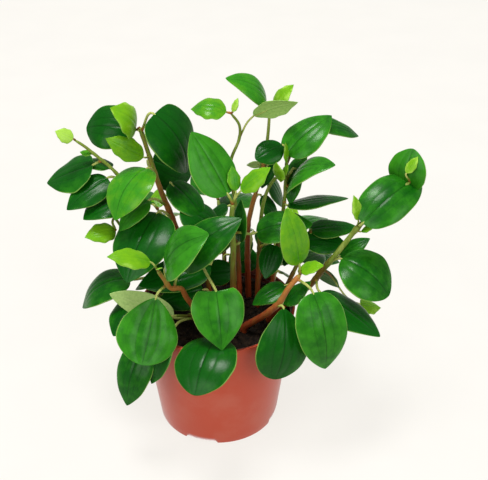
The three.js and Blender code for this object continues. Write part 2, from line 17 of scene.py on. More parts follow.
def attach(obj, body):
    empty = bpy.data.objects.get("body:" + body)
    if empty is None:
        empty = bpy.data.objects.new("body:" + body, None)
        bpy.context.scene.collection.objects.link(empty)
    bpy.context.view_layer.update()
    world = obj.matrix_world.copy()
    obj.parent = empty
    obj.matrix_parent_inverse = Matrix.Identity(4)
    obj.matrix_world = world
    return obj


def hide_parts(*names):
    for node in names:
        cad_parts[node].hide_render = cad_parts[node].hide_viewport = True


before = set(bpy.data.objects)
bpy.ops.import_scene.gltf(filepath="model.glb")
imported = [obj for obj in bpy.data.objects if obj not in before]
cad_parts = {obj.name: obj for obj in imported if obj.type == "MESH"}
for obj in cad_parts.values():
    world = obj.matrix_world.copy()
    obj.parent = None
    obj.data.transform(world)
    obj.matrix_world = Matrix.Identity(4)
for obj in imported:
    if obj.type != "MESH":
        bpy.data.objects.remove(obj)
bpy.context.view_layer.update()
print("solids in the frame:", sorted(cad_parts))

# %% [markdown]
# The model is in metres, but a leaf is easier to think about in millimetres. All the sizes below
# are in millimetres, and one factor turns them into Blender's metres at the very end.

# %% Units and the random draw
MM = 0.001
SEED = 20
rng = random.Random(SEED)
print("one millimetre is", MM, "of a Blender unit")

# %% [markdown]
# The camera stands in front of the plant and looks down on it at 32 degrees, as the photograph
# does. It comes first, so that every later cell can be judged through it.

# %% Camera
CAMERA_PLACE = (18, -492, 446)
CAMERA_DOWN = 32
CAMERA_LENS = 66.4
CAMERA_SENSOR = 36

camera_data = bpy.data.cameras.new("camera")
camera_data.lens = CAMERA_LENS
camera_data.sensor_width = CAMERA_SENSOR
camera = bpy.data.objects.new("camera", camera_data)
camera.location = Vector(CAMERA_PLACE) * MM
camera.rotation_euler = (math.radians(90 - CAMERA_DOWN), 0, 0)
bpy.context.scene.collection.objects.link(camera)
bpy.context.scene.camera = camera
print("camera at", tuple(camera.location))

# %% [markdown]
# Every piece ends the same way: its bmesh becomes an object at the origin, in metres, it rides on
# the body of the row, it stands for its solid, and it names its material slot. One helper does
# all of that, so that no piece can miss a step.

# %% A helper that finishes a piece
def finish_piece(name, mesh_in_mm, materials, stands_for):
    bmesh.ops.transform(mesh_in_mm, matrix=Matrix.Scale(MM, 4), verts=mesh_in_mm.verts)
    data = bpy.data.meshes.new(name)
    mesh_in_mm.to_mesh(data)
    mesh_in_mm.free()
    for polygon in data.polygons:
        polygon.use_smooth = True
    piece = bpy.data.objects.new(name, data)
    bpy.context.scene.collection.objects.link(piece)
    for material in materials:
        data.materials.append(material)
    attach(piece, "root")
    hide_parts(*stands_for)
    print(name, "has", len(data.polygons), "faces")
    return piece


# %% [markdown]
# Materials are graphs of nodes. These short helpers add a few nodes or links each, so that the
# cells below read as a recipe: which pattern, which colours, and where they meet. A Mix node has
# a set of sockets for each kind of data, and the numbers here are those of its colours. The helper
# spread eases one span of values into another. Noise seldom leaves the middle of its range, so
# vary spreads that middle over the values wanted.

# %% Helpers for materials
MIX_FACTOR, MIX_FIRST, MIX_SECOND, MIX_RESULT = 0, 6, 7, 2
NOISE_LOW = 0.3
NOISE_HIGH = 0.7


def new_material(name):
    material = bpy.data.materials.new(name)
    material.use_nodes = True
    shader = material.node_tree.nodes["Principled BSDF"]
    return material, material.node_tree, shader


def add_node(tree, kind, **settings):
    node = tree.nodes.new(kind)
    for key, value in settings.items():
        if key in node.inputs:
            node.inputs[key].default_value = value
        else:
            setattr(node, key, value)
    return node


def link_or_set(tree, socket, value):
    if isinstance(value, bpy.types.NodeSocket):
        tree.links.new(value, socket)
    else:
        socket.default_value = value


def mix_colours(tree, factor, first, second, blend="MIX"):
    node = tree.nodes.new("ShaderNodeMix")
    node.data_type = "RGBA"
    node.blend_type = blend
    link_or_set(tree, node.inputs[MIX_FACTOR], factor)
    link_or_set(tree, node.inputs[MIX_FIRST], first)
    link_or_set(tree, node.inputs[MIX_SECOND], second)
    return node.outputs[MIX_RESULT]


def calculate(tree, operation, first, second=0.0, third=0.0):
    node = tree.nodes.new("ShaderNodeMath")
    node.operation = operation
    for socket, value in zip(node.inputs, (first, second, third)):
        link_or_set(tree, socket, value)
    return node.outputs[0]


def spread(tree, value, low, high, to_low=0.0, to_high=1.0):
    node = tree.nodes.new("ShaderNodeMapRange")
    node.interpolation_type = "SMOOTHSTEP"
    tree.links.new(value, node.inputs["Value"])
    node.inputs["From Min"].default_value = low
    node.inputs["From Max"].default_value = high
    node.inputs["To Min"].default_value = to_low
    node.inputs["To Max"].default_value = to_high
    return node.outputs["Result"]


def vary(tree, pattern, low, high):
    return spread(tree, pattern, NOISE_LOW, NOISE_HIGH, low, high)


def speckle(tree, per_metre, detail, roughness=0.55, stretch=(1, 1, 1)):
    place = tree.nodes.new("ShaderNodeTexCoord")
    mapping = tree.nodes.new("ShaderNodeMapping")
    mapping.inputs["Scale"].default_value = stretch
    tree.links.new(place.outputs["Object"], mapping.inputs["Vector"])
    pattern = add_node(tree, "ShaderNodeTexNoise", Scale=per_metre, Detail=detail, Roughness=roughness)
    tree.links.new(mapping.outputs["Vector"], pattern.inputs["Vector"])
    return pattern.outputs["Fac"]


def bumps(tree, shader, height, distance, strength):
    node = add_node(tree, "ShaderNodeBump", Distance=distance, Strength=strength)
    tree.links.new(height, node.inputs["Height"])
    tree.links.new(node.outputs["Normal"], shader.inputs["Normal"])


def vertex_value(tree, name):
    node = tree.nodes.new("ShaderNodeAttribute")
    node.attribute_name = name
    return node.outputs["Fac"]


print("material helpers are ready")

# %% [markdown]
# The pot is thin moulded plastic, terracotta in colour. It could be a cylinder with a taper, but a
# moulded pot is a solid of revolution, so its outline is drawn once as a chain of points, its
# corners are rounded by a bevel, and the chain is spun about Z. The lip is the same wall, thicker
# on the inside. Two more points on the straight outer wall keep its shading even. The foot ring is
# cut away in four places to let water run out, and eight round holes go through the floor.

# %% The pot's outline, spun
POT_HEIGHT = 88
POT_RIM_RADIUS = 52.5
POT_FOOT_RADIUS = 41.5
POT_WALL = 1.6
POT_LIP = 2.4
POT_LIP_HEIGHT = 5
LIP_TAPER = 1
POT_FLOOR_TOP = 4.4
PAD_RADIUS = 24
RECESS = 2.4
FOOT_RING = 4.5
FOOT_BAND = 6
POT_ROUNDING = 0.55
ROUNDING_SEGMENTS = 3
POT_STEPS = 180
WELD = 0.001


def pot_radius(z):
    return POT_FOOT_RADIUS + (POT_RIM_RADIUS - POT_FOOT_RADIUS) * z / POT_HEIGHT


def spun(section, steps, rounding):
    shape = bmesh.new()
    chain = [shape.verts.new((radius, 0, z)) for radius, z in section]
    for here, there in zip(chain, chain[1:]):
        shape.edges.new((here, there))
    bmesh.ops.bevel(shape, geom=chain[1:-1], offset=rounding, segments=ROUNDING_SEGMENTS,
                    profile=0.5, affect="VERTICES", material=-1)
    bmesh.ops.spin(shape, geom=shape.verts[:] + shape.edges[:], cent=(0, 0, 0), axis=(0, 0, 1),
                   angle=math.tau, steps=steps, use_merge=True)
    bmesh.ops.remove_doubles(shape, verts=shape.verts, dist=WELD)
    bmesh.ops.recalc_face_normals(shape, faces=shape.faces)
    return shape


lip_foot = POT_HEIGHT - POT_LIP_HEIGHT
pot_section = [
    (0, 0),
    (PAD_RADIUS, 0),
    (PAD_RADIUS + RECESS / 2, RECESS),
    (POT_FOOT_RADIUS - FOOT_RING - RECESS / 2, RECESS),
    (POT_FOOT_RADIUS - FOOT_RING, 0),
    (POT_FOOT_RADIUS, 0),
    (pot_radius(FOOT_BAND), FOOT_BAND),
    (pot_radius(lip_foot - 2 * LIP_TAPER), lip_foot - 2 * LIP_TAPER),
    (POT_RIM_RADIUS, POT_HEIGHT),
    (POT_RIM_RADIUS - POT_LIP, POT_HEIGHT),
    (pot_radius(lip_foot) - POT_LIP, lip_foot),
    (pot_radius(lip_foot - LIP_TAPER) - POT_WALL, lip_foot - LIP_TAPER),
    (pot_radius(POT_FLOOR_TOP) - POT_WALL, POT_FLOOR_TOP),
    (0, POT_FLOOR_TOP),
]
pot_shape = spun(pot_section, POT_STEPS, POT_ROUNDING)
print("pot shape:", len(pot_shape.faces), "faces")

# %% The notches under the foot ring
NOTCHES = 4
NOTCH_ANGLE = 30
NOTCH_HEADING = 254


def in_a_notch(x, y):
    turn = (math.degrees(math.atan2(y, x)) - NOTCH_HEADING) % (360 / NOTCHES)
    return min(turn, 360 / NOTCHES - turn) < NOTCH_ANGLE / 2


for vert in pot_shape.verts:
    x, y, z = vert.co
    if z < RECESS and math.hypot(x, y) > PAD_RADIUS + RECESS and in_a_notch(x, y):
        vert.co.z = RECESS
bmesh.ops.dissolve_degenerate(pot_shape, edges=pot_shape.edges, dist=WELD)
print("notches:", NOTCHES)

# %% [markdown]
# The plastic is coloured right through, with a satin skin that turns pale where the light grazes
# it. A touch of sheen gives that pale edge. Fine grain breaks up the highlight, and wide soft
# clouds stand for dust and watering marks. The inner wall is darkened in colour as painted shade.
# That painted shade needs no second skin: how deep a point lies behind the outer skin, and its
# height, say where the inside is. The shade starts at the first of each pair of numbers and is
# full at the second.

# %% Pot plastic
POT_RED = (0.42, 0.055, 0.023, 1)
POT_RED_DUSTY = (0.43, 0.085, 0.048, 1)
# The next colour is painted shade: it darkens the inside of the pot's wall.
INNER_WALL_PAINTED_SHADE = (0.045, 0.016, 0.009, 1)
INNER_SHADE_DEPTHS = (0.9 * POT_WALL * MM, 0.99 * POT_WALL * MM)
INNER_SHADE_HEIGHTS = (3 * MM, 4 * MM)
INNER_SHADE_STRENGTH = 0.85
DUST_SPAN = (0.42, 0.72)
POT_ROUGHNESS = (0.36, 0.5)
SHEEN_PINK = (1.0, 0.82, 0.84, 1)
CLOUDS_PER_METRE = 38
GRAIN_PER_METRE = 1700


def behind_the_skin(tree):
    place = tree.nodes.new("ShaderNodeTexCoord")
    split = tree.nodes.new("ShaderNodeSeparateXYZ")
    tree.links.new(place.outputs["Object"], split.inputs["Vector"])
    squares = [calculate(tree, "POWER", split.outputs[axis], 2.0) for axis in ("X", "Y")]
    from_axis = calculate(tree, "SQRT", calculate(tree, "ADD", *squares))
    slope = (POT_RIM_RADIUS - POT_FOOT_RADIUS) / POT_HEIGHT
    skin = calculate(tree, "MULTIPLY_ADD", split.outputs["Z"], slope, POT_FOOT_RADIUS * MM)
    return calculate(tree, "SUBTRACT", skin, from_axis), split.outputs["Z"]


pot_plastic, tree, shader = new_material("terracotta_plastic")
clouds = speckle(tree, CLOUDS_PER_METRE, detail=4.0)
grain = speckle(tree, GRAIN_PER_METRE, detail=2.0)
dust = spread(tree, clouds, *DUST_SPAN)
reds = mix_colours(tree, dust, POT_RED, POT_RED_DUSTY)
# Painted shade: the inside of the wall above the floor is darkened, as if in shadow.
depth_in, height = behind_the_skin(tree)
inside = spread(tree, depth_in, *INNER_SHADE_DEPTHS)
above_floor = spread(tree, height, *INNER_SHADE_HEIGHTS)
inner_painted_shade = calculate(tree, "MULTIPLY", inside, above_floor)
inner_painted_shade = calculate(tree, "MULTIPLY", inner_painted_shade, INNER_SHADE_STRENGTH)
reds = mix_colours(tree, inner_painted_shade, reds, INNER_WALL_PAINTED_SHADE)
tree.links.new(reds, shader.inputs["Base Color"])
tree.links.new(vary(tree, clouds, *POT_ROUGHNESS), shader.inputs["Roughness"])
shader.inputs["Specular IOR Level"].default_value = 0.2
shader.inputs["Sheen Weight"].default_value = 0.9
shader.inputs["Sheen Roughness"].default_value = 0.3
shader.inputs["Sheen Tint"].default_value = SHEEN_PINK
bumps(tree, shader, grain, distance=0.06 * MM, strength=0.35)
print("made", pot_plastic.name)

# %% [markdown]
# The drain holes are cut by a Boolean modifier. Its cutter is eight short rods in one mesh. The
# modifier's result is taken over as the pot's own mesh, and the cutter is removed again.

# %% Finish the pot and pierce its floor
DRAIN_HOLES = 8
DRAIN_RADIUS = 3.5
DRAIN_RING = 30
CUTTER_LENGTH = 12
CUTTER_SIDES = 32

pot = finish_piece("pot_shell", pot_shape, [pot_plastic], ["pot"])

cutter_shape = bmesh.new()
for index in range(DRAIN_HOLES):
    heading = index * math.tau / DRAIN_HOLES
    place = Vector((DRAIN_RING * math.cos(heading), DRAIN_RING * math.sin(heading), RECESS)) * MM
    bmesh.ops.create_cone(cutter_shape, cap_ends=True, segments=CUTTER_SIDES,
                          radius1=DRAIN_RADIUS * MM, radius2=DRAIN_RADIUS * MM,
                          depth=CUTTER_LENGTH * MM, matrix=Matrix.Translation(place))
cutter_data = bpy.data.meshes.new("drain_cutter")
cutter_shape.to_mesh(cutter_data)
cutter_shape.free()
cutter = bpy.data.objects.new("drain_cutter", cutter_data)
bpy.context.scene.collection.objects.link(cutter)
piercing = pot.modifiers.new("drain_holes", "BOOLEAN")
piercing.operation = "DIFFERENCE"
piercing.solver = "EXACT"
piercing.object = cutter
bpy.context.view_layer.update()
pierced = bpy.data.meshes.new_from_object(pot.evaluated_get(bpy.context.evaluated_depsgraph_get()))
pot.modifiers.clear()
pot.data = pierced
bpy.data.objects.remove(cutter)
print("pot with drain holes has", len(pot.data.polygons), "faces")

# %% [markdown]
# The soil fills the pot to a little under its rim. Seen from above it is a rough, nearly black
# surface. A square grid bent into a disc gives even faces with no pole in the middle, three layers
# of noise push it up and down, and an extrusion carries it down to the pot's floor. Each layer has
# its own fineness, height and place in the noise. Towards the pot's wall the top drops a little.

# %% Soil body
SOIL_TOP = 80
SOIL_GAP = 0.35
SOIL_CELLS = 150
SOIL_RADIUS = pot_radius(SOIL_TOP) - POT_WALL - SOIL_GAP
SOIL_EDGE_SHARE = 0.05
SOIL_EDGE_DROP = 1
SOIL_LAYERS = {
    "lumps": (0.11, 1.5, 3.0),
    "crumbs": (0.45, 0.8, 7.0),
    "grit": (1.3, 0.35, 11.0),
}


def soil_height(x, y):
    height = SOIL_TOP
    for fineness, rise, layer in SOIL_LAYERS.values():
        height += noise.noise(Vector((x, y, layer)) * fineness) * rise
    return height


soil_shape = bmesh.new()
bmesh.ops.create_grid(soil_shape, x_segments=SOIL_CELLS, y_segments=SOIL_CELLS, size=1)
top_faces = soil_shape.faces[:]
bmesh.ops.extrude_face_region(soil_shape, geom=top_faces, use_keep_orig=True)
top_verts = set(vert for face in top_faces for vert in face.verts)
bottom_radius = pot_radius(POT_FLOOR_TOP) - POT_WALL - SOIL_GAP
edge_height = SOIL_TOP - SOIL_EDGE_DROP
for vert in soil_shape.verts:
    x = vert.co.x * math.sqrt(1 - vert.co.y ** 2 / 2)
    y = vert.co.y * math.sqrt(1 - vert.co.x ** 2 / 2)
    if vert in top_verts:
        inwards = min(1.0, (1 - math.hypot(x, y)) / SOIL_EDGE_SHARE)
        height = soil_height(x * SOIL_RADIUS, y * SOIL_RADIUS)
        height = edge_height + (height - edge_height) * inwards
        vert.co = (x * SOIL_RADIUS, y * SOIL_RADIUS, height)
    else:
        vert.co = (x * bottom_radius, y * bottom_radius, POT_FLOOR_TOP + SOIL_GAP)
bmesh.ops.recalc_face_normals(soil_shape, faces=soil_shape.faces)
print("soil shape:", len(soil_shape.faces), "faces")

# %% [markdown]
# Loose crumbs lie on the soil. Each is a twenty-sided ball with its corners pushed about, cheap
# enough to scatter by the hundred. The draw is seeded, so that they fall the same way each time.

# %% Crumbs on the soil
CRUMBS = 520
CRUMB_MARGIN = 2
FINE_SIZES = (0.5, 1.1)
COARSE_SIZES = (1.1, 2.1)
FINE_SHARE = 0.8
CRUMB_LIFT = 0.25
CRUMB_WIDTHS = (0.6, 1)
CRUMB_HEIGHTS = (0.45, 0.8)
CRUMB_ROUGHNESS = 0.2

for _ in range(CRUMBS):
    reach = math.sqrt(rng.random()) * (SOIL_RADIUS - CRUMB_MARGIN)
    heading = rng.random() * math.tau
    size = rng.uniform(*(FINE_SIZES if rng.random() < FINE_SHARE else COARSE_SIZES))
    x, y = reach * math.cos(heading), reach * math.sin(heading)
    place = Matrix.Translation((x, y, soil_height(x, y) + size * CRUMB_LIFT))
    turn = Matrix.Rotation(rng.random() * math.tau, 4, Vector((rng.random(), rng.random(), 1)))
    squeeze = Matrix.Diagonal((1, rng.uniform(*CRUMB_WIDTHS), rng.uniform(*CRUMB_HEIGHTS), 1))
    crumb = bmesh.ops.create_icosphere(soil_shape, subdivisions=1, radius=size,
                                       matrix=place @ turn @ squeeze)
    for vert in crumb["verts"]:
        push = Vector((rng.uniform(-1, 1), rng.uniform(-1, 1), rng.uniform(-1, 1)))
        vert.co += push * size * CRUMB_ROUGHNESS
print("crumbs:", CRUMBS)

# %% [markdown]
# Damp peat is almost black, with browner and redder crumbs among it. Two scales of noise mix the
# browns, and the same noise as bump keeps the surface from looking like paint.

# %% Peat
PEAT_DARK = (0.008, 0.005, 0.0035, 1)
PEAT_BROWN = (0.026, 0.015, 0.009, 1)
PEAT_RED = (0.038, 0.014, 0.008, 1)
CRUMBS_PER_METRE = 320
GRIT_PER_METRE = 1500
BROWN_SPAN = (0.42, 0.66)
RED_SPAN = (0.6, 0.75)
PEAT_ROUGHNESS = (0.7, 0.95)

peat, tree, shader = new_material("moist_peat")
coarse = speckle(tree, CRUMBS_PER_METRE, detail=5.0, roughness=0.65)
fine = speckle(tree, GRIT_PER_METRE, detail=4.0, roughness=0.7)
browns = mix_colours(tree, spread(tree, coarse, *BROWN_SPAN), PEAT_DARK, PEAT_BROWN)
browns = mix_colours(tree, spread(tree, fine, *RED_SPAN), browns, PEAT_RED)
tree.links.new(browns, shader.inputs["Base Color"])
tree.links.new(vary(tree, coarse, *PEAT_ROUGHNESS), shader.inputs["Roughness"])
shader.inputs["Specular IOR Level"].default_value = 0.12
bumps(tree, shader, fine, distance=0.4 * MM, strength=0.8)
finish_piece("peat_with_crumbs", soil_shape, [peat], ["soil"])

# %% [markdown]
# The plant itself is a table, the same one that its solids were made from. For each leafy stem it
# gives the radius at the root and at the tip, the points that the stem runs through, and its
# leaves. A leaf says how far up the stem it grows, where its petiole meets the blade, the blade's
# heading, rise and roll in degrees, its length, width and bend, its kind, its age from 0 for a
# lime-green shoot to 1 for a dark old leaf, and any points that a long petiole runs through.

# %% The leafy stems
Leaf = namedtuple("Leaf", "at base heading rise roll length width bend kind age through",
                  defaults=((),))
LEAFY_STEMS = {
    "stem_rear_left": (2.8, 1.3, [
        (-16, 13, 84), (-22, 17, 118), (-30, 21, 144), (-37, 24, 164), (-43, 27, 186),
        (-48, 30, 204),
    ], [
        (0.98, (-38, 26, 215), -5, -65, 25, 43, 41, 80, "egg", 0.9),
        (0.96, (-52, 38, 199), 165, -5, -50, 33, 30, 80, "broad", 0.9),
        (1.00, (-51, 30, 202), -145, 50, -50, 24, 23, 95, "young", 0.15),
        (0.86, (-46, 22, 187), -165, 35, -70, 27, 15, 15, "young", 0.2),
        (0.78, (-44, 18, 181), -125, -35, 5, 38, 33, 80, "oval", 0.45),
        (0.62, (-44, 14, 160), -145, -35, -5, 26, 18, 45, "oval", 0.6),
        (0.60, (-42, 36, 178), 35, -35, 65, 34, 32, 15, "broad", 0.9),
        (0.56, (-38, 10, 153), -115, -35, 0, 49, 40, 55, "oval", 0.9),
    ]),
    "stem_far_left": (1.9, 0.9, [
        (-27, 22, 84), (-37, 24, 117), (-51, 25, 151), (-66, 26, 175), (-77, 28, 185),
        (-84, 29, 191), (-90, 30, 195),
    ], [
        (1.00, (-91, 30, 196), -170, 30, -50, 12, 10, 20, "young", 0.0),
        (0.90, (-80, 29, 186), 155, -5, -30, 9, 5, 20, "young", 0.4),
        (0.86, (-80, 29, 178), 175, -25, -20, 34, 32, 10, "oval", 0.85),
        (0.74, (-71, 26, 170), -145, -25, -20, 32, 22, 30, "oval", 0.95),
        (0.78, (-69, 30, 175), 145, 0, 0, 22, 15, 20, "oval", 0.9),
        (0.62, (-62, 22, 158), -145, -15, -5, 28, 26, 40, "oval", 0.9),
    ]),
    "stem_left": (1.8, 0.8, [
        (-28, 5, 84), (-42, 9, 103), (-54, 12, 124), (-63, 16, 139), (-67, 15, 146),
        (-68, 13, 144), (-66, 11, 140),
    ], [
        (1.00, (-66, 11, 139), -155, 0, -30, 20, 15, 60, "young", 0.2),
        (0.44, (-58, 4, 105), -170, -30, -5, 37, 31, 95, "oval", 0.9),
        (0.30, (-49, -3, 91), -125, -15, 0, 31, 29, 70, "oval", 0.85),
        (0.36, (-34, 8, 110), -175, -35, 0, 25, 17, 30, "oval", 0.9),
    ]),
    "stem_front_left": (2.5, 1.2, [
        (-8, -18, 84), (-13, -19, 96), (-19, -22, 109), (-22, -25, 118), (-28, -29, 121),
        (-31, -31, 128), (-35, -33, 137),
    ], [
        (1.00, (-39, -34, 144), -160, 20, -25, 27, 15, 45, "young", 0.24),
        (1.00, (-35, -33, 138), -60, 35, 0, 7, 4, 20, "young", 0.1),
        (0.84, (-37, -35, 118), -105, -45, -30, 41, 39, 15, "drop", 0.68),
        (0.86, (-31, -30, 136), -10, 45, 25, 39, 35, 80, "oval", 0.62),
        (0.76, (-22, -20, 132), 5, 40, 40, 49, 27, 80, "oval", 0.85),
        (0.36, (-45, -39, 86), -125, -60, -5, 42, 26, 60, "oval", 0.9, ((-34, -31, 98),)),
        (0.34, (-30, -45, 92), -135, -60, 5, 29, 20, 40, "oval", 0.85, ((-24, -36, 99),)),
        (0.38, (-28, -22, 93), 180, 25, 110, 43, 18, 40, "oval", 0.6),
        (0.32, (2, -47, 96), -110, -20, 5, 41, 39, 75, "broad", 0.9),
    ]),
    "stem_inner_left": (1.9, 1.1, [
        (-4, 3, 84), (-7, 4, 108), (-11, 5, 130), (-17, 8, 150), (-23, 14, 161),
    ], [
        (1.00, (-22, 11, 157), -15, -30, 10, 36, 28, 20, "oval", 1),
        (1.00, (-29, 23, 168), -35, -36, 0, 31, 25, 30, "oval", 0.9),
        (0.66, (-4, -2, 121), -165, -10, -30, 47, 26, 20, "oval", 0.95),
        (0.30, (-9, -2, 101), -165, -10, -35, 30, 22, 20, "oval", 0.95),
        (0.70, (1, -42, 128), -80, -55, 0, 35, 33, 35, "heart", 0.74, ((-9, -15, 131),)),
    ]),
    "stem_centre": (2.6, 1.5, [
        (11, -10, 84), (11, -9, 106), (11, -8, 127), (11, -6, 142), (10, -5, 155), (11, -5, 168),
    ], [
        (1.00, (8, -5, 175), 150, 55, -20, 43, 31, 15, "oval", 0.55),
        (1.00, (16, -6, 178), 5, 40, 30, 23, 14, 30, "young", 0.32),
        (1.00, (13, -4, 177), 110, 60, 5, 15, 9, 20, "young", 0.45),
        (0.72, (15, -1, 138), 80, 75, -45, 27, 15, 20, "oval", 0.8),
        (0.80, (26, 2, 143), 0, 10, 20, 35, 26, 60, "oval", 0.8),
    ]),
    "stem_tall_left": (1.9, 0.8, [
        (15, 10, 84), (14, 14, 122), (12, 17, 159), (9, 19, 176), (10, 20, 187), (15, 20, 201),
        (15, 19, 211), (10, 18, 219),
    ], [
        (1.00, (7, 18, 220), 170, 0, -20, 21, 19, 85, "young", 0.35),
        (1.00, (11, 18, 220), 30, 65, 15, 9, 5, 20, "young", 0.1),
        (0.88, (24, 19, 217), -20, 25, -55, 30, 16, 30, "young", 0.35, ((20, 20, 212),)),
        (0.46, (7, 26, 149), -165, -35, -5, 18, 14, 30, "oval", 0.95),
        (0.30, (11, 26, 126), -165, -45, 0, 19, 14, 30, "oval", 0.95),
        (0.20, (10, 15, 104), 180, -5, -50, 24, 18, 20, "oval", 0.95),
    ]),
    "stem_tall_right": (2.3, 0.9, [
        (21, 20, 84), (21, 23, 138), (26, 28, 159), (31, 32, 178), (33, 35, 192), (34, 36, 206),
        (34, 36, 213),
    ], [
        (1.00, (32, 36, 216), -155, 40, -35, 35, 21, 95, "oval", 0.55),
        (1.00, (37, 35, 216), 5, 50, 25, 18, 13, 45, "young", 0.1),
        (0.76, (30, 34, 176), 180, -5, 75, 10, 6, 20, "oval", 0.6),
        (0.60, (36, 38, 178), -135, -65, 0, 20, 14, 30, "oval", 0.95),
        (0.66, (34, 42, 163), -10, -65, 5, 25, 19, 30, "oval", 0.95),
        (0.48, (30, 34, 152), -30, -55, 0, 20, 15, 30, "oval", 0.9),
        (0.30, (22, 34, 119), -145, -55, 0, 19, 15, 30, "oval", 0.95),
        (0.34, (26, 30, 126), -20, -50, 0, 19, 15, 30, "oval", 0.9),
    ]),
    "stem_upper_right": (2, 1, [
        (27, 9, 84), (28, 13, 118), (29, 16, 143), (31, 16, 159), (35, 15, 171), (41, 15, 179),
    ], [
        (1.00, (41, 8, 177), 40, 105, 10, 15, 9, 20, "young", 0.15),
        (1.00, (42, 13, 178), -25, 65, 55, 10, 5, 20, "young", 0.15),
        (0.52, (38, 6, 131), -115, -50, -5, 22, 16, 20, "oval", 0.9),
    ]),
    "stem_right_rear": (1.9, 1, [
        (37, 14, 84), (38, 15, 104), (40, 16, 121), (44, 18, 154), (45, 20, 172), (45, 19, 186),
    ], [
        (1.00, (45, 16, 186), 180, 85, -30, 14, 6, 20, "young", 0.15),
        (1.00, (45, 20, 190), 30, 30, 15, 37, 27, 45, "oval", 0.74),
        (0.98, (63, 38, 204), 20, -25, 20, 35, 17, 40, "oval", 0.85),
        (0.86, (48, 18, 166), -35, 40, 20, 40, 25, 95, "oval", 0.66),
        (0.88, (51, 26, 177), -105, -60, 10, 23, 12, 20, "oval", 0.85),
        (1.00, (42, 21, 196), -150, -15, -35, 19, 17, 30, "broad", 0.95),
        (0.76, (46, 13, 157), -5, 10, -10, 38, 24, 20, "oval", 0.85),
        (0.84, (47, 28, 170), 40, 35, 5, 19, 12, 20, "oval", 0.8),
        (0.40, (49, 24, 124), -135, -75, 0, 19, 15, 30, "oval", 0.9),
        (0.16, (42, 20, 101), 45, -45, 0, 22, 18, 20, "oval", 0.9),
    ]),
    "stem_right": (1.9, 1.1, [
        (40, 3, 84), (47, 5, 100), (54, 9, 115), (60, 12, 128), (62, 13, 136),
    ], [
        (1.00, (62, 16, 137), 5, 0, 10, 30, 19, 20, "oval", 0.9),
        (0.94, (58, 9, 134), 0, -10, 25, 27, 20, 20, "oval", 0.9),
        (0.60, (57, 15, 112), 50, -15, 10, 26, 18, 30, "oval", 0.85),
    ]),
    "stem_front_right": (2.8, 1.5, [
        (18, -20, 83), (30, -26, 97), (40, -30, 110), (46, -30, 122), (53, -26, 129),
    ], [
        (0.66, (43, -35, 110), -105, -65, -35, 45, 35, 75, "drop", 0.9),
        (0.96, (61, -34, 121), -60, -70, 10, 50, 34, 80, "oval", 0.66),
        (1.00, (53, -18, 132), 155, 75, -30, 38, 22, 30, "oval", 0.33),
        (1.00, (53, -20, 129), -25, 25, 25, 17, 11, 30, "young", 0.15),
        (0.74, (45, -10, 110), -155, -20, -5, 24, 18, 35, "oval", 0.85),
        (0.60, (43, -22, 104), 25, 30, 0, 22, 16, 20, "oval", 0.85),
    ]),
    "stem_far_right": (2.5, 1.2, [
        (35, -8, 83), (46, -5, 92), (62, -1, 104), (69, -2, 116), (76, -4, 128), (83, -5, 140),
        (90, -5, 151), (104, 2, 163), (117, 8, 171), (123, 11, 175),
    ], [
        (0.72, (92, -10, 157), 40, 15, 25, 53, 30, 80, "oval", 0.82),
        (0.92, (122, 16, 167), 30, 85, 25, 27, 26, 80, "broad", 0.6),
        (0.71, (90, -6, 157), 155, 75, -25, 17, 8, 30, "young", 0.15),
        (0.70, (92, -8, 150), -25, 40, 25, 13, 6, 20, "young", 0.3),
        (0.52, (81, 5, 123), 10, 30, 15, 22, 14, 30, "oval", 0.85),
        (0.50, (81, -6, 128), -25, -30, 20, 37, 36, 80, "broad", 0.75),
        (0.43, (67, 5, 112), -20, -35, -75, 18, 12, 35, "oval", 0.95),
        (0.40, (68, -14, 107), -35, -20, -5, 46, 31, 15, "oval", 0.9),
        (0.46, (97, 4, 85), 10, -20, 5, 15, 16, 10, "young", 0.15),
        (1.00, (120, 10, 182), 20, 55, 25, 12, 7, 20, "young", 0.1),
        (1.00, (125, 12, 174), -15, 25, 30, 8, 3, 20, "young", 0.1),
    ]),
    "stem_back_left": (2, 1.1, [
        (-20, 31, 84), (-25, 39, 102), (-33, 46, 118), (-42, 52, 131),
    ], [
        (1.00, (-46, 55, 134), 130, -10, 0, 33, 25, 25, "oval", 0.8),
        (0.86, (-37, 57, 124), 100, -35, 0, 37, 29, 30, "oval", 0.7),
        (0.80, (-46, 46, 118), 165, -25, 0, 30, 23, 30, "oval", 0.9),
        (0.58, (-31, 49, 107), 115, -50, 0, 36, 27, 30, "oval", 0.85),
        (1.00, (-42, 53, 132), 90, 20, 0, 18, 11, 30, "young", 0.2),
        (0.45, (-16, 46, 111), -145, -55, 0, 19, 16, 30, "oval", 0.95),
    ]),
    "stem_back": (2, 1.1, [
        (4, 34, 84), (4, 41, 104), (2, 48, 122), (0, 54, 138),
    ], [
        (1.00, (-2, 58, 140), 115, 5, 0, 33, 24, 25, "oval", 0.8),
        (0.94, (6, 57, 131), 60, -10, 0, 33, 25, 25, "oval", 0.75),
        (0.76, (7, 54, 118), 75, -40, 0, 37, 30, 30, "oval", 0.9),
        (0.68, (-3, 52, 112), 105, -45, 0, 36, 26, 30, "oval", 0.85),
        (1.00, (1, 56, 142), 60, 55, 0, 16, 10, 30, "young", 0.2),
        (0.25, (8, 36, 104), -10, -15, 50, 22, 20, 20, "oval", 0.95),
    ]),
    "stem_back_right": (2, 1.1, [
        (28, 30, 84), (35, 37, 98), (44, 43, 109), (52, 47, 117),
    ], [
        (1.00, (56, 50, 120), 45, -15, 0, 32, 24, 25, "oval", 0.8),
        (0.90, (48, 54, 116), 85, -30, 0, 36, 28, 30, "oval", 0.7),
        (0.84, (54, 40, 108), 5, -25, 0, 34, 26, 30, "oval", 0.9),
        (0.62, (37, 46, 100), 80, -50, 0, 36, 28, 30, "oval", 0.85),
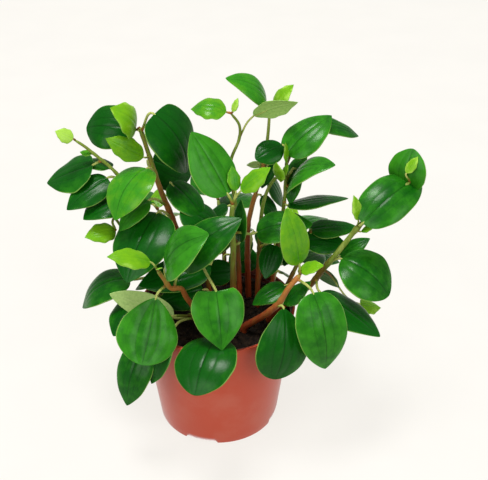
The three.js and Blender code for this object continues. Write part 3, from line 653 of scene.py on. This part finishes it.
        (1.00, (53, 49, 121), 100, 35, 0, 16, 10, 30, "young", 0.2),
    ]),
}
leaf_count = sum(len(rows) for _, _, _, rows in LEAFY_STEMS.values())
print(len(LEAFY_STEMS), "leafy stems with", leaf_count, "leaves")

# %% [markdown]
# All the blades share one formula, and a kind sets its numbers. A small base or point is a blunt
# end and a large one a slender end. The shoulder says how far the blade reaches back beside its
# petiole, the cup how far its sides bow down, the furrow how deep its side veins lie, and the
# crimp how much its outline wavers, which it does most on a young leaf.

# %% The kinds of blade
Kind = namedtuple("Kind", "base point shoulder cup furrow crimp")
BLADE_KINDS = {
    "broad": Kind(base=0.55, point=0.55, shoulder=0.0, cup=0.12, furrow=1.0, crimp=0.01),
    "oval": Kind(base=0.5, point=0.72, shoulder=0.02, cup=0.12, furrow=1.0, crimp=0.01),
    "heart": Kind(base=0.48, point=0.85, shoulder=0.14, cup=0.12, furrow=1.0, crimp=0.01),
    "egg": Kind(base=0.42, point=0.72, shoulder=0.05, cup=0.12, furrow=1.0, crimp=0.01),
    "drop": Kind(base=0.8, point=0.5, shoulder=0.0, cup=0.12, furrow=4.5, crimp=0.01),
    "young": Kind(base=0.62, point=0.85, shoulder=0.0, cup=0.15, furrow=1.0, crimp=0.06),
}
print("kinds of blade:", ", ".join(BLADE_KINDS))

# %% [markdown]
# Stems and petioles follow smooth lines through their points. A centripetal Catmull-Rom curve
# passes through every point without loops, which a plain spline does not promise. Each line is
# kept as many short steps, so that a share of its length is easy to find.

# %% Smooth lines
LINE_STEPS = 200
SHORTEST_SPAN = 1e-4


def time_between(here, there):
    return max((there - here).length, SHORTEST_SPAN) ** 0.5


def velocity(before, here, after, time_in, time_out):
    return ((here - before) / time_in - (after - before) / (time_in + time_out)
            + (after - here) / time_out)


def spline_piece(before, start, end, after, t):
    first = time_between(before, start)
    middle = time_between(start, end)
    last = time_between(end, after)
    leave = velocity(before, start, end, first, middle) * middle
    arrive = velocity(start, end, after, middle, last) * middle
    return (start * (2 * t ** 3 - 3 * t ** 2 + 1) + leave * (t ** 3 - 2 * t ** 2 + t)
            + end * (3 * t ** 2 - 2 * t ** 3) + arrive * (t ** 3 - t ** 2))


def smooth_line(points):
    points = [Vector(point) for point in points]
    padded = [2 * points[0] - points[1], *points, 2 * points[-1] - points[-2]]
    line = []
    for step in range(LINE_STEPS + 1):
        position = step / LINE_STEPS * (len(points) - 1)
        index = min(int(position), len(points) - 2)
        line.append(spline_piece(*padded[index:index + 4], position - index))
    return line


def bezier_line(start, leave, arrive, end):
    line = []
    for step in range(LINE_STEPS + 1):
        t = step / LINE_STEPS
        line.append(start * (1 - t) ** 3 + leave * 3 * t * (1 - t) ** 2
                    + arrive * 3 * t * t * (1 - t) + end * t ** 3)
    return line


def line_length(line):
    return sum((there - here).length for here, there in zip(line, line[1:]))


def along(line, share):
    left = share * line_length(line)
    for here, there in zip(line, line[1:]):
        step = (there - here).length
        if left <= step and step > 0:
            return here.lerp(there, left / step), (there - here).normalized()
        left -= step
    return line[-1], (line[-1] - line[-2]).normalized()


print("lines have", LINE_STEPS, "steps")

# %% [markdown]
# A stem is a ring of points carried along its line. The ring starts as a circle, is extruded, and
# the new ring is turned, moved and scaled to the next station. Turning it by the smallest angle
# each time keeps the tube from twisting. Both ends are filled.

# %% Tubes along a line
def tube(shape, line, stations, radius_at, sides):
    place, ahead = along(line, stations[0])
    turn = Vector((0, 0, 1)).rotation_difference(ahead).to_matrix().to_4x4()
    radius = radius_at(stations[0])
    matrix = Matrix.Translation(place) @ turn @ Matrix.Scale(radius, 4)
    circle = bmesh.ops.create_circle(shape, cap_ends=True, segments=sides, radius=1, matrix=matrix)
    ring = circle["verts"]
    made = [(stations[0], ring)]
    edges = list({edge for vert in ring for edge in vert.link_edges})
    for share in stations[1:]:
        place, new_ahead = along(line, share)
        turn = ahead.rotation_difference(new_ahead).to_matrix().to_4x4() @ turn
        ahead = new_ahead
        new_matrix = Matrix.Translation(place) @ turn @ Matrix.Scale(radius_at(share), 4)
        grown = bmesh.ops.extrude_edge_only(shape, edges=edges)["geom"]
        ring = [item for item in grown if isinstance(item, bmesh.types.BMVert)]
        edges = [item for item in grown if isinstance(item, bmesh.types.BMEdge)]
        bmesh.ops.transform(shape, matrix=new_matrix @ matrix.inverted(), verts=ring)
        matrix = new_matrix
        made.append((share, ring))
    bmesh.ops.contextual_create(shape, geom=edges)
    return made


def even(first, last, steps):
    return [first + (last - first) * step / steps for step in range(steps + 1)]


print("tube helper is ready")

# %% [markdown]
# A blade lives in a frame of its own: an axis from base to point, the way that its upper face
# looks, and the side across. Its outline, arch, cup and shoulders are formulas in the share u of
# its length and v of its half width, so one function places any point of any blade.

# %% The frame and outline of a blade
BLADE_HALF_THICKNESS = 0.5
YOUNG_HALF_THICKNESS = 0.4


def direction(heading, rise):
    h, r = math.radians(heading), math.radians(rise)
    return Vector((math.cos(r) * math.cos(h), math.cos(r) * math.sin(h), math.sin(r)))


def blade_frame(heading, rise, roll):
    axis = direction(heading, rise)
    face = direction(heading, rise + 90)
    face.rotate(Matrix.Rotation(math.radians(roll), 3, axis))
    return axis, face, face.cross(axis)


def widest(kind):
    return kind.base / (kind.base + kind.point)


def outline(u, kind):
    peak = widest(kind)
    return (u ** kind.base * (1 - u) ** kind.point
            / (peak ** kind.base * (1 - peak) ** kind.point))


print("an oval blade is widest at", round(widest(BLADE_KINDS["oval"]), 2), "of its length")

# %% [markdown]
# The leaves' character is in their relief. The midrib is a narrow groove above and a keel below,
# and two pairs of side veins run from the base to the point beside it, bowed like the outline.
# They follow lines of equal v, so they meet at both ends by themselves. The margin is rounded and
# waves a little, each leaf in its own way, and the very tip is drawn out to a small point. On a
# blade narrower than FULL_WIDTH all of this is smaller in proportion.

# %% The relief of a blade
MIDRIB_WIDTH = 0.75
MIDRIB_DEPTH = 0.42
VEIN_PLACES = (0.37, 0.7)
VEIN_DEPTHS = (0.17, 0.05)
VEIN_WIDTH = 1.0
BASE_SHARE = 1 / 12
TIP_SHARE = 0.12
TIP_REACH = 1.4
FULL_WIDTH = 22
CRIMPS = 3
CRIMP_SHIFT = 0.3
WAVE_SLANT = 1.3
MARGIN_THICKNESS = 0.3
END_THICKNESS = 0.35


def bell(distance, width):
    return math.exp(-(distance / width) ** 2)


def near_base(u):
    return min(1.0, u / BASE_SHARE)


def relief(u, v, half, furrow):
    depth = MIDRIB_DEPTH * bell(v * half, MIDRIB_WIDTH) * max(0.0, 1 - u) ** 0.5 * near_base(u)
    for place, vein_depth in zip(VEIN_PLACES, VEIN_DEPTHS):
        groove = bell((abs(v) - place) * half, VEIN_WIDTH * math.sqrt(furrow))
        depth += furrow * vein_depth * groove * math.sin(math.pi * u) ** 0.7
    return depth


def margin_waves(habit, u, v):
    wave = math.sin(math.tau * (habit["waves"] * u + habit["phase"]) + WAVE_SLANT * v)
    return (habit["wave"] * wave * v * v - habit["curl"] * abs(v) ** 5) * math.sin(math.pi * u)


def half_thickness(leaf, u, v):
    thickness = YOUNG_HALF_THICKNESS if leaf.kind == "young" else BLADE_HALF_THICKNESS
    rounded = math.sqrt(max(0.0, 1 - abs(v) ** 8))
    rounded = MARGIN_THICKNESS + (1 - MARGIN_THICKNESS) * rounded
    return thickness * rounded * min(1.0, END_THICKNESS + 3 * u * (1 - u))


def blade_point(leaf, habit, u, v, level):
    kind = BLADE_KINDS[leaf.kind]
    size = min(1.0, leaf.width / FULL_WIDTH)
    half = leaf.width / 2 * outline(u, kind) if 0 < u < 1 else 0.0
    crimps = CRIMPS * u + habit["phase"] + (CRIMP_SHIFT if v > 0 else 0)
    half *= 1 + kind.crimp * math.sin(math.tau * crimps)
    across = v * half
    turn = math.radians(leaf.bend)
    arc = leaf.length / (2 * math.sin(turn / 2))
    phi = turn * (u - 0.5)
    ahead = leaf.length / 2 + arc * math.sin(phi)
    ahead -= kind.shoulder * leaf.length * (1 - u) ** 2 * abs(v) ** 1.5 * near_base(u)
    ahead += TIP_REACH * size * max(0.0, 1 - (1 - u) / TIP_SHARE) ** 2
    height = arc * (math.cos(phi) - math.cos(turn / 2))
    height -= kind.cup * across * across / (leaf.width / 2)
    height -= relief(u, v, half / size, kind.furrow) * size
    height += margin_waves(habit, u, v) * size
    offset = level * half_thickness(leaf, u, v)
    axis, face, side = blade_frame(leaf.heading, leaf.rise, leaf.roll)
    return (Vector(leaf.base) + axis * (ahead + offset * math.sin(phi)) + side * across
            + face * (height + offset * math.cos(phi)))


print("a wide blade's midrib is", MIDRIB_DEPTH, "mm deep")

# %% [markdown]
# Each blade starts as a flat grid that is extruded into a closed plate. The plate's columns are
# gathered where the veins and the margin need them, its rows where the ends need them, and the
# formula then bends it into place. The first and last rows shrink to points and are merged. A
# narrow blade gets fewer rows and columns: a pair in BLADE_ROWS is a width and the rows from there.

# %% Blades
COLUMN_PLACES = (0, 0.03, 0.07, 0.12, 0.2, 0.28, 0.33, 0.37, 0.41, 0.46, 0.56, 0.64, 0.7, 0.76,
                 0.84, 0.91, 0.96, 0.985, 1)
NARROW_COLUMN_PLACES = (0, 0.06, 0.14, 0.27, 0.37, 0.47, 0.6, 0.7, 0.8, 0.92, 0.98, 1)
NARROW = 14
BLADE_ROWS = ((24, 34), (NARROW, 26), (0, 18))
BLADE_WELD = 0.0005
UPPER, UNDER = 0, 1


def add_blade(shape, layers, leaf, habit):
    places = NARROW_COLUMN_PLACES if leaf.width < NARROW else COLUMN_PLACES
    columns = 2 * (len(places) - 1)
    rows = next(count for width, count in BLADE_ROWS if leaf.width >= width)
    grid = bmesh.ops.create_grid(shape, x_segments=rows, y_segments=columns, size=1)["verts"]
    under_faces = list({face for vert in grid for face in vert.link_faces})
    grown = bmesh.ops.extrude_face_region(shape, geom=under_faces, use_keep_orig=True)["geom"]
    upper = {item for item in grown if isinstance(item, bmesh.types.BMVert)}
    uv_of = {}
    for vert in [*grid, *upper]:
        u = (1 - math.cos(math.pi * (vert.co.x + 1) / 2)) / 2
        column = round((vert.co.y + 1) / 2 * columns) - columns // 2
        v = math.copysign(places[abs(column)], column)
        uv_of[vert] = (u, v)
        vert[layers["age"]] = leaf.age
        vert[layers["luck"]] = habit["luck"]
    for face in {face for vert in uv_of for face in vert.link_faces}:
        is_upper = any(vert in upper for vert in face.verts)
        face.material_index = UPPER if is_upper else UNDER
        for loop in face.loops:
            u, v = uv_of[loop.vert]
            loop[layers["uv"]].uv = (u, 0.5 + v / 2)
    for vert, (u, v) in uv_of.items():
        vert.co = blade_point(leaf, habit, u, v, 1 if vert in upper else -1)
    bmesh.ops.remove_doubles(shape, verts=list(uv_of), dist=BLADE_WELD)


print("a large blade has", 2 * (len(COLUMN_PLACES) - 1), "columns")

# %% [markdown]
# The petiole is a short green stalk. It leaves the middle of the stem, swings round to the base of
# the blade and runs on under it as the beginning of the midrib, thinner and thinner. There it is
# lowered by a share of its own thickness, so that it shows as a keel below and not in the groove
# above. It is thickest where it leaves the stem and has a slight neck before the blade.

# %% Petioles
PETIOLE_RADIUS = 0.95
YOUNG_PETIOLE_RADIUS = 0.7
PETIOLE_SIDES = 10
PETIOLE_STEP = 2
FEWEST_STEPS = 10
LEAVE_SHARE = 0.4
LEAVE_LIFT = 0.12
ARRIVE_SHARE = 0.35
FOOT_SWELL = 0.25
FOOT_REACH = 2.5
NECK_DEPTH = 0.12
NECK_REACH = 2
PETIOLE_WAIST = 0.92
KEEL_START = 0.80
KEEL_TAPER = 0.60
FOOT_GREEN = 0.35
GREENING_SHARE = 0.7
SHORTEST_GREENING = 8
KEEL_PLACES = (0.03, 0.07, 0.12, 0.18, 0.25, 0.33)
KEEL_DROPS = (0.40, 0.55, 0.50, 0.40, 0.30, 0.20)


def petiole_line(stem, leaf, habit, thick):
    base = Vector(leaf.base)
    axis, face, _ = blade_frame(leaf.heading, leaf.rise, leaf.roll)
    half_bend = math.radians(leaf.bend / 2)
    into = axis * math.cos(half_bend) + face * math.sin(half_bend)
    start, _ = along(stem, leaf.at)
    span = (base - start).length
    if leaf.through:
        line = smooth_line([start, *leaf.through, base])
    else:
        leave = start.lerp(base, LEAVE_SHARE) + Vector((0, 0, LEAVE_LIFT * span))
        line = bezier_line(start, leave, base - into * ARRIVE_SHARE * span, base)
    keel = []
    for u, drop in zip(KEEL_PLACES, KEEL_DROPS):
        keel.append(blade_point(leaf, habit, u, 0, -1) - face * thick * drop)
    return line, keel


def add_petiole(shape, layers, stem, leaf, habit):
    thick = YOUNG_PETIOLE_RADIUS if leaf.kind == "young" else PETIOLE_RADIUS
    line, keel = petiole_line(stem, leaf, habit, thick)
    free = line_length(line)
    whole = line + keel
    total = line_length(whole)

    def radius_at(share):
        reach = share * total
        if reach <= free:
            swell = FOOT_SWELL * bell(reach, FOOT_REACH) - NECK_DEPTH * bell(free - reach, NECK_REACH)
            return thick * (PETIOLE_WAIST + swell)
        return thick * (KEEL_START - KEEL_TAPER * (reach - free) / (total - free))

    stations = even(0, 1, max(FEWEST_STEPS, round(total / PETIOLE_STEP)))
    greening = max(SHORTEST_GREENING, GREENING_SHARE * free)
    for share, ring in tube(shape, whole, stations, radius_at, PETIOLE_SIDES):
        for vert in ring:
            vert[layers["luck"]] = habit["luck"]
            vert[layers["green"]] = min(1.0, FOOT_GREEN + share * total / greening)


print("petioles are", 2 * PETIOLE_RADIUS, "mm thick")

# %% [markdown]
# Stems are jointed: wherever a leaf grows they are a little swollen, with a faint ring. They are
# red-brown and woody near the soil and turn olive and then yellow-green towards the tip. A value
# on each point, called green, carries that change to the material. It grows with the height above
# the soil and with the share of the stem, and less on a stem that is redder than the others.

# %% Stems
ROOT_DEPTH = 62
STEM_SIDES = 16
STEM_STEP = 1.6
JOINT_SWELL = 0.16
JOINT_REACH = 1.8
RING_DEPTH = 0.05
RING_PLACE = 3
RING_REACH = 1
LAST_JOINT = 0.99
END_SHARE = 0.985
END_NARROWING = 0.35
PLANT_HEIGHT = 110
GREEN_BY_HEIGHT = 0.5
GREEN_BY_SHARE = 0.9
REDDEST = 1.3
GREENEST_STEM = 0.8


def stem_line(path):
    x, y = path[0][0], path[0][1]
    return smooth_line([(x, y, ROOT_DEPTH), (x, y, SOIL_TOP), *path])


def add_stem(shape, layers, line, root_radius, tip_radius, leaves, redness):
    length = line_length(line)
    joints = sorted({leaf.at for leaf in leaves if leaf.at < LAST_JOINT})

    def radius_at(share):
        radius = root_radius + (tip_radius - root_radius) * share
        for joint in joints:
            away = (share - joint) * length
            swell = JOINT_SWELL * bell(away, JOINT_REACH)
            radius *= 1 + swell - RING_DEPTH * bell(away - RING_PLACE, RING_REACH)
        return radius * (1 - END_NARROWING * max(0.0, share - END_SHARE) / (1 - END_SHARE))

    stations = even(0, 1, round(length / STEM_STEP))
    for share, ring in tube(shape, line, stations, radius_at, STEM_SIDES):
        for vert in ring:
            height = (vert.co.z - SOIL_TOP) / PLANT_HEIGHT
            green = GREEN_BY_HEIGHT * height + GREEN_BY_SHARE * share ** 1.3
            green = green * (REDDEST - redness)
            vert[layers["green"]] = max(0.0, min(GREENEST_STEM, green))
            vert[layers["luck"]] = redness


print("stems have", STEM_SIDES, "sides")

# %% [markdown]
# The upper side of a leaf is waxy. Its colour runs from lime through a clean mid green to a very
# dark green with age, a little younger towards the margin, with painted shade darkening the vein
# grooves more on older leaves, and a thin pale yellow-green line round the edge. Broad soft
# mottling and a lucky number shift the age a little, so that no two leaves look alike. The wax is
# a low specular level on a smooth skin: glints, but no grey film.

# %% Upper side of the leaves
SHOOT_PALE = (0.30, 0.52, 0.06, 1)
LIME = (0.135, 0.335, 0.007, 1)
MID_GREEN = (0.030, 0.200, 0.008, 1)
DARK_GREEN = (0.0025, 0.066, 0.0025, 1)
MARGIN_GREEN = (0.22, 0.38, 0.07, 1)
# The next colour is painted shade for the vein grooves, stronger on older leaves.
GROOVE_PAINTED_SHADE = (0.30, 0.42, 0.30, 1)
SHOOT_AGES = (-0.02, 0.15)
YOUNG_AGES = (0.12, 0.55)
OLD_AGES = (0.5, 0.95)
VEIN_WEIGHTS = (0.42, 0.2)
VEIN_REACH = 0.045
GROOVE_SHADE_AGES = (0.15, 0.6)
GROOVE_SHADE_STRENGTHS = (0.2, 0.8)
MOTTLES_PER_METRE = 130
WAX_PER_METRE = 900
MOTTLE_SHIFT = 0.09
LUCK_SHIFT = 0.05
SIDE_PLACES = (0.2, 1.0)
SIDE_SHIFTS = (0.03, -0.06)
MARGIN_PLACES = (0.965, 0.99)
MARGIN_STRENGTH = 0.65
LEAF_ROUGHNESS = (0.22, 0.30)


def leaf_greens(tree, age):
    shoots = mix_colours(tree, spread(tree, age, *SHOOT_AGES), SHOOT_PALE, LIME)
    first_half = mix_colours(tree, spread(tree, age, *YOUNG_AGES), shoots, MID_GREEN)
    return mix_colours(tree, spread(tree, age, *OLD_AGES), first_half, DARK_GREEN)


def from_midrib(tree):
    uv = add_node(tree, "ShaderNodeUVMap", uv_map="blade")
    split = tree.nodes.new("ShaderNodeSeparateXYZ")
    tree.links.new(uv.outputs["UV"], split.inputs["Vector"])
    signed = calculate(tree, "MULTIPLY_ADD", split.outputs["Y"], 2.0, -1.0)
    return calculate(tree, "ABSOLUTE", signed)


def vein_lines(tree, across, reach):
    veins = spread(tree, across, reach, 0.0)
    for place, weight in zip(VEIN_PLACES, VEIN_WEIGHTS):
        away = calculate(tree, "ABSOLUTE", calculate(tree, "SUBTRACT", across, place))
        veins = calculate(tree, "MAXIMUM", veins, spread(tree, away, reach, 0.0, 0.0, weight))
    return veins


leaf_upper, tree, shader = new_material("leaf_upper_side")
across = from_midrib(tree)
mottling = speckle(tree, MOTTLES_PER_METRE, detail=5.0, roughness=0.6)
luck = vertex_value(tree, "luck")
age = vertex_value(tree, "age")
age = calculate(tree, "ADD", age, vary(tree, mottling, -MOTTLE_SHIFT, MOTTLE_SHIFT))
age = calculate(tree, "ADD", age, spread(tree, luck, 0.0, 1.0, -LUCK_SHIFT, LUCK_SHIFT))
age = calculate(tree, "ADD", age, spread(tree, across, *SIDE_PLACES, *SIDE_SHIFTS))
greens = leaf_greens(tree, age)
# Painted shade: the vein grooves are darkened in colour, as if shadowed.
veins = vein_lines(tree, across, VEIN_REACH)
groove_shade_strength = spread(tree, age, *GROOVE_SHADE_AGES, *GROOVE_SHADE_STRENGTHS)
groove = calculate(tree, "MULTIPLY", veins, groove_shade_strength)
greens = mix_colours(tree, groove, greens, GROOVE_PAINTED_SHADE, "MULTIPLY")
margin = spread(tree, across, *MARGIN_PLACES, 0.0, MARGIN_STRENGTH)
greens = mix_colours(tree, margin, greens, MARGIN_GREEN)
tree.links.new(greens, shader.inputs["Base Color"])
skin = speckle(tree, WAX_PER_METRE, detail=2.0)
tree.links.new(vary(tree, mottling, *LEAF_ROUGHNESS), shader.inputs["Roughness"])
shader.inputs["Specular IOR Level"].default_value = 0.12
bumps(tree, shader, skin, distance=0.12 * MM, strength=0.35)
print("made", leaf_upper.name)

# %% [markdown]
# The underside has no wax. It is matt, pale and greyish, much darker on an old leaf, and its veins
# stand out lighter. The same nodes that place the veins above place them here.

# %% Underside of the leaves
UNDER_PALE = (0.42, 0.56, 0.20, 1)
UNDER_OLD = (0.050, 0.145, 0.040, 1)
UNDER_VEIN = (0.48, 0.60, 0.26, 1)
PALE_AGES = (0.1, 0.6)
PALE_STRENGTHS = (0.15, 0.8)
UNDER_OLD_AGES = (0.65, 0.95)
UNDER_VEIN_REACH = 0.06
UNDER_VEIN_STRENGTH = 0.35
CELLS_PER_METRE = 700
CELL_SPAN = (0.4, 0.7)
CELL_STRENGTH = 0.25

leaf_under, tree, shader = new_material("leaf_underside")
across = from_midrib(tree)
age = vertex_value(tree, "age")
paleness = spread(tree, age, *PALE_AGES, *PALE_STRENGTHS)
greens = mix_colours(tree, paleness, LIME, UNDER_PALE)
greens = mix_colours(tree, spread(tree, age, *UNDER_OLD_AGES), greens, UNDER_OLD)
veins = vein_lines(tree, across, UNDER_VEIN_REACH)
veins = calculate(tree, "MULTIPLY", veins, UNDER_VEIN_STRENGTH)
greens = mix_colours(tree, veins, greens, UNDER_VEIN)
cells = speckle(tree, CELLS_PER_METRE, detail=3.0)
cell_strength = spread(tree, cells, *CELL_SPAN, 0.0, CELL_STRENGTH)
greens = mix_colours(tree, cell_strength, greens, MID_GREEN)
tree.links.new(greens, shader.inputs["Base Color"])
shader.inputs["Roughness"].default_value = 0.62
shader.inputs["Specular IOR Level"].default_value = 0.35
bumps(tree, shader, cells, distance=0.1 * MM, strength=0.4)
print("made", leaf_under.name)

# %% [markdown]
# Stems and petioles share one skin. The value green picks a colour: red-brown, then olive or, on
# the redder stems, orange-brown, then green, and a pale yellow-green that only petioles reach.
# Streaks run along them because the noise is drawn out in Z, and the skin catches a line of light.

# %% Stems and petioles
STEM_RED = (0.24, 0.040, 0.010, 1)
STEM_OLIVE = (0.11, 0.070, 0.007, 1)
STEM_ORANGE = (0.31, 0.120, 0.024, 1)
STEM_GREEN = (0.15, 0.22, 0.025, 1)
PETIOLE_PALE = (0.36, 0.40, 0.10, 1)
RED_TO_MIDDLE = (0.1, 0.5)
MIDDLE_TO_GREEN = (0.5, 0.8)
GREEN_TO_PALE = (0.8, 1.0)
REDDER_STEMS = (0.5, 0.75)
STREAKS_PER_METRE = 260
STREAK_STRETCH = (1, 1, 0.25)
STREAK_SPAN = (0.35, 0.65)
STREAK_SHIFT = 0.1
STEM_ROUGHNESS = (0.38, 0.52)

stem_skin, tree, shader = new_material("stem_skin")
green = vertex_value(tree, "green")
streaks = speckle(tree, STREAKS_PER_METRE, detail=4.0, stretch=STREAK_STRETCH)
shift = spread(tree, streaks, *STREAK_SPAN, -STREAK_SHIFT, STREAK_SHIFT)
green = calculate(tree, "ADD", green, shift)
redness = spread(tree, vertex_value(tree, "luck"), *REDDER_STEMS)
middles = mix_colours(tree, redness, STEM_OLIVE, STEM_ORANGE)
barks = mix_colours(tree, spread(tree, green, *RED_TO_MIDDLE), STEM_RED, middles)
barks = mix_colours(tree, spread(tree, green, *MIDDLE_TO_GREEN), barks, STEM_GREEN)
barks = mix_colours(tree, spread(tree, green, *GREEN_TO_PALE), barks, PETIOLE_PALE)
tree.links.new(barks, shader.inputs["Base Color"])
tree.links.new(vary(tree, streaks, *STEM_ROUGHNESS), shader.inputs["Roughness"])
shader.inputs["Specular IOR Level"].default_value = 0.2
bumps(tree, shader, streaks, distance=0.25 * MM, strength=0.6)
print("made", stem_skin.name)

# %% [markdown]
# Now the plant grows. Each leafy stem makes two pieces, its wood and its blades, because they
# carry different skins. Both stand for the same solid. Every leaf draws its own habit: how its
# margin waves, how far its edge curls down, and a lucky number for small shifts of colour. A stem
# carries its redness where a leaf carries its luck. A shape gets only the values that its own
# materials read, and the blades also get the UV map that places their veins.

# %% Grow the leafy stems
USUAL_REDNESS = 0.45
RED_STEMS = {
    "stem_front_left": 0.68,
    "stem_front_right": 0.8,
    "stem_rear_left": 0.75,
    "stem_tall_right": 0.7,
    "stem_far_right": 0.15,
}


def new_shape(*values):
    shape = bmesh.new()
    return shape, {value: shape.verts.layers.float.new(value) for value in values}


def draw_habit():
    return {
        "waves": rng.uniform(0.8, 1.8),
        "phase": rng.random(),
        "wave": rng.uniform(0.2, 0.9),
        "curl": rng.uniform(0.2, 1.1),
        "luck": rng.random(),
    }


for name, (root_radius, tip_radius, path, rows) in LEAFY_STEMS.items():
    wood, wood_layers = new_shape("luck", "green")
    blades, blade_layers = new_shape("luck", "age")
    blade_layers["uv"] = blades.loops.layers.uv.new("blade")
    line = stem_line(path)
    leaves = [Leaf(*row) for row in rows]
    redness = RED_STEMS.get(name, USUAL_REDNESS)
    add_stem(wood, wood_layers, line, root_radius, tip_radius, leaves, redness)
    for leaf in leaves:
        habit = draw_habit()
        add_petiole(wood, wood_layers, line, leaf, habit)
        add_blade(blades, blade_layers, leaf, habit)
    bmesh.ops.recalc_face_normals(wood, faces=wood.faces)
    bmesh.ops.recalc_face_normals(blades, faces=blades.faces)
    finish_piece(name + "_wood", wood, [stem_skin], [name])
    finish_piece(name + "_blades", blades, [leaf_upper, leaf_under], [name])

# %% [markdown]
# The plant stands on a plain pale floor that runs far enough back to fill the view. A shadow on
# white paper is never dark in a bright room, so the floor also glows a little by itself, as a light
# table does. It isn't part of the object.

# %% Floor
FLOOR_REACH = 6000
FLOOR_PALE = (0.12, 0.118, 0.112, 1)
FLOOR_GLOW = (0.81, 0.788, 0.743, 1)
PAPER_PER_METRE = 12
PAPER_GRAIN = 0.015

floor_shape = bmesh.new()
bmesh.ops.create_grid(floor_shape, x_segments=1, y_segments=1, size=FLOOR_REACH * MM)
floor_data = bpy.data.meshes.new("floor")
floor_shape.to_mesh(floor_data)
floor_shape.free()
floor = bpy.data.objects.new("floor", floor_data)
bpy.context.scene.collection.objects.link(floor)
floor_paint, tree, shader = new_material("floor_pale")
paper = vary(tree, speckle(tree, PAPER_PER_METRE, detail=2.0), 0.0, PAPER_GRAIN)
tree.links.new(mix_colours(tree, paper, FLOOR_PALE, FLOOR_GLOW), shader.inputs["Base Color"])
shader.inputs["Roughness"].default_value = 0.9
shader.inputs["Specular IOR Level"].default_value = 0.1
shader.inputs["Emission Color"].default_value = FLOOR_GLOW
shader.inputs["Emission Strength"].default_value = 1.0
floor_data.materials.append(floor_paint)
print("floor is", 2 * FLOOR_REACH * MM, "m wide")

# %% [markdown]
# The light is soft and comes from three panels. The one overhead is the smallest, and gives the
# waxy glints. Two wide ones in front, to the left and the right, light the faces of the hanging
# leaves and nearly cancel each other's shadows. An even sky fills the rest. All are far off, so
# that the floor is lit evenly. A panel is a place, a size and a power in watts. The Standard view
# shows the colours as they were mixed, and a pale floor as nearly white.

# %% Light
PANELS = {
    "top_panel": ((-350, 0, 2600), 800, 62),
    "right_panel": ((2000, -2100, 1900), 2000, 42),
    "left_panel": ((-1900, -2300, 1900), 2000, 42),
}
AIM = (0, 0, 120)
SKY_WHITE = (1.0, 0.98, 0.96, 1)
SKY_STRENGTH = 0.42


def add_panel(name, place, size, watts):
    data = bpy.data.lights.new(name, "AREA")
    data.shape = "SQUARE"
    data.size = size * MM
    data.energy = watts
    panel = bpy.data.objects.new(name, data)
    panel.location = Vector(place) * MM
    towards = Vector(AIM) - Vector(place)
    panel.rotation_euler = towards.to_track_quat("-Z", "Y").to_euler()
    bpy.context.scene.collection.objects.link(panel)


for panel_name, (place, size, watts) in PANELS.items():
    add_panel(panel_name, place, size, watts)

sky = bpy.data.worlds.new("sky")
sky.use_nodes = True
background = sky.node_tree.nodes["Background"]
background.inputs["Color"].default_value = SKY_WHITE
background.inputs["Strength"].default_value = SKY_STRENGTH
bpy.context.scene.world = sky
bpy.context.scene.view_settings.view_transform = "Standard"
print("panels:", ", ".join(PANELS))
